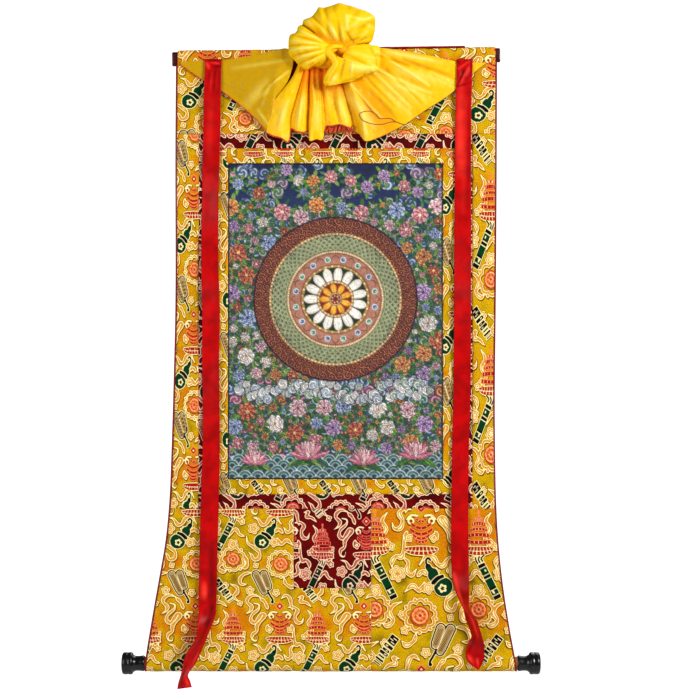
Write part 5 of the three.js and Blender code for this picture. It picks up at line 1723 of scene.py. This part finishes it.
class SCROLL_OT_rosette(Operator):
    """Gathers the cover's silk into its rosette: a crown, a pleated fan, a petal, a tongue and a
    twisted roll about a knot"""

    bl_idname = "scroll.rosette"
    bl_label = "Rosette"

    def execute(self, context):
        thickness = context.scene.scroll_sizes.silk_sheet / MM
        skins = []
        for rows, across, along, waves in ROSETTE_PARTS:
            sheet, u, v = draped(puffed(rows), across, along)
            # creases press the front alone; waves swell between knot and rim, and frill the rim
            front = 1 - ease(v, 0.6, 0.7)
            swell = np.sin(math.pi * np.clip(v / 0.72, 0, 1))
            sheet[..., 2] += 0.9 * swell * drift(u * waves + 1.5 * v, v * 1.6, 1, 3)
            sheet[..., 1] += 0.9 * ease(v, 0.3, 0.66) * drift(u * waves * 1.3, 0 * v, 1, 7)
            # painted orange shade at the knot, and on the back behind the rim
            shade = 0.4 * (1 - ease(v, 0, 0.14)) + 0.2 * ease(v, 0.7, 0.85)
            skins.append(silk_skin(sheet, thickness, front, shade=shade)[0])
        skins.append(silk_skin(draped(TONGUE, 80, 56)[0], thickness, fold=0.4)[0])
        # the roll: a strip across its path that bows back by 3 u^2 + 1.4 |u|^3 toward its edges
        path = threaded(TWIST, 97)
        way = np.gradient(path[:, :2], axis=0)
        way /= np.linalg.norm(way, axis=1, keepdims=True)
        u = np.linspace(-1, 1, 25)[None]
        wide = path[:, 3:4] * u
        roll = np.stack([
            path[:, :1] - way[:, 1:] * wide, path[:, 1:2] + way[:, :1] * wide,
            path[:, 2:3] - 3 * u * u - 1.4 * np.abs(u) ** 3 + 0.6 * np.cos(5 * u + 2),
        ], -1)
        # painted orange shade toward the roll's edges, which bow back
        skins.append(silk_skin(roll, thickness, 0, 0.9, shade=0.25 * np.abs(u) ** 2)[0])
        for place, half, bumps in STUFFING:
            body = ball(before(*place), np.array(half), bumps)
            # the bunched silk lies deep inside the rosette, so it takes painted shade and painted
            # orange shade
            for layer, value in (("hollow", 0.3), ("crest", 0), ("glow", 0.35), ("sheer", 0)):
                body.layers[layer] = np.full((len(body.points), 1), value)
            skins.append(body)
        piece = settle(put("cover_rosette", skins, [finish("habotai_silk")]), "yellow_silk")
        return {"FINISHED"}


class SCROLL_OT_wood(Operator):
    """Stains the batten, leaves the roller bare and turns the lacquered knobs"""

    bl_idname = "scroll.wood"
    bl_label = "Batten, roller and knobs"

    def execute(self, context):
        for node, name in (("batten", "stained_batten"), ("roller", "bare_dowel")):
            piece = frame["nodes"][node]
            if not piece.material_slots:
                piece.data.materials.append(None)
            for slot in piece.material_slots:
                slot.material = finish(name)
        for name, end, side in zip(("left", "right"), ROLLER_ENDS, (-1, 1)):
            knob = turned(KNOB, end + PLAY * side, side)
            piece = put(f"turned_knob_{name}", [knob], [finish("lacquered_knob")])
            settle(piece, "black_wood", f"knob_{name}")
        return {"FINISHED"}


STEPS = (
    SCROLL_OT_camera, SCROLL_OT_stage, SCROLL_OT_panels, SCROLL_OT_red_brocade, SCROLL_OT_picture,
    SCROLL_OT_bindings, SCROLL_OT_tape, SCROLL_OT_ribbons, SCROLL_OT_cover, SCROLL_OT_rosette,
    SCROLL_OT_wood,
)


class SCROLL_PT_scroll(Panel):
    """The scroll's settings and its steps"""

    bl_idname = "SCROLL_PT_scroll"
    bl_label = "Thangka scroll"
    bl_space_type = "VIEW_3D"
    bl_region_type = "UI"
    bl_category = "Scroll"

    def draw(self, context):
        for group in (context.scene.scroll_sizes, context.scene.scroll_colours):
            for name in group.bl_rna.properties.keys():
                if name not in ("rna_type", "name"):
                    self.layout.prop(group, name)
        for step in STEPS:
            self.layout.operator(step.bl_idname)


CLASSES = (ScrollSizes, ScrollColours, *STEPS, SCROLL_PT_scroll)


def register():
    for item in CLASSES:
        bpy.utils.register_class(item)
    bpy.types.Scene.scroll_sizes = PointerProperty(type=ScrollSizes)
    bpy.types.Scene.scroll_colours = PointerProperty(type=ScrollColours)


def unregister():
    del bpy.types.Scene.scroll_sizes
    del bpy.types.Scene.scroll_colours
    for item in reversed(CLASSES):
        bpy.utils.unregister_class(item)


def main():
    """Registers the add-on and makes every piece in order."""
    register()
    for step in STEPS:
        getattr(bpy.ops.scroll, step.bl_idname.split(".")[1])()


if __name__ == "__main__":
    main()
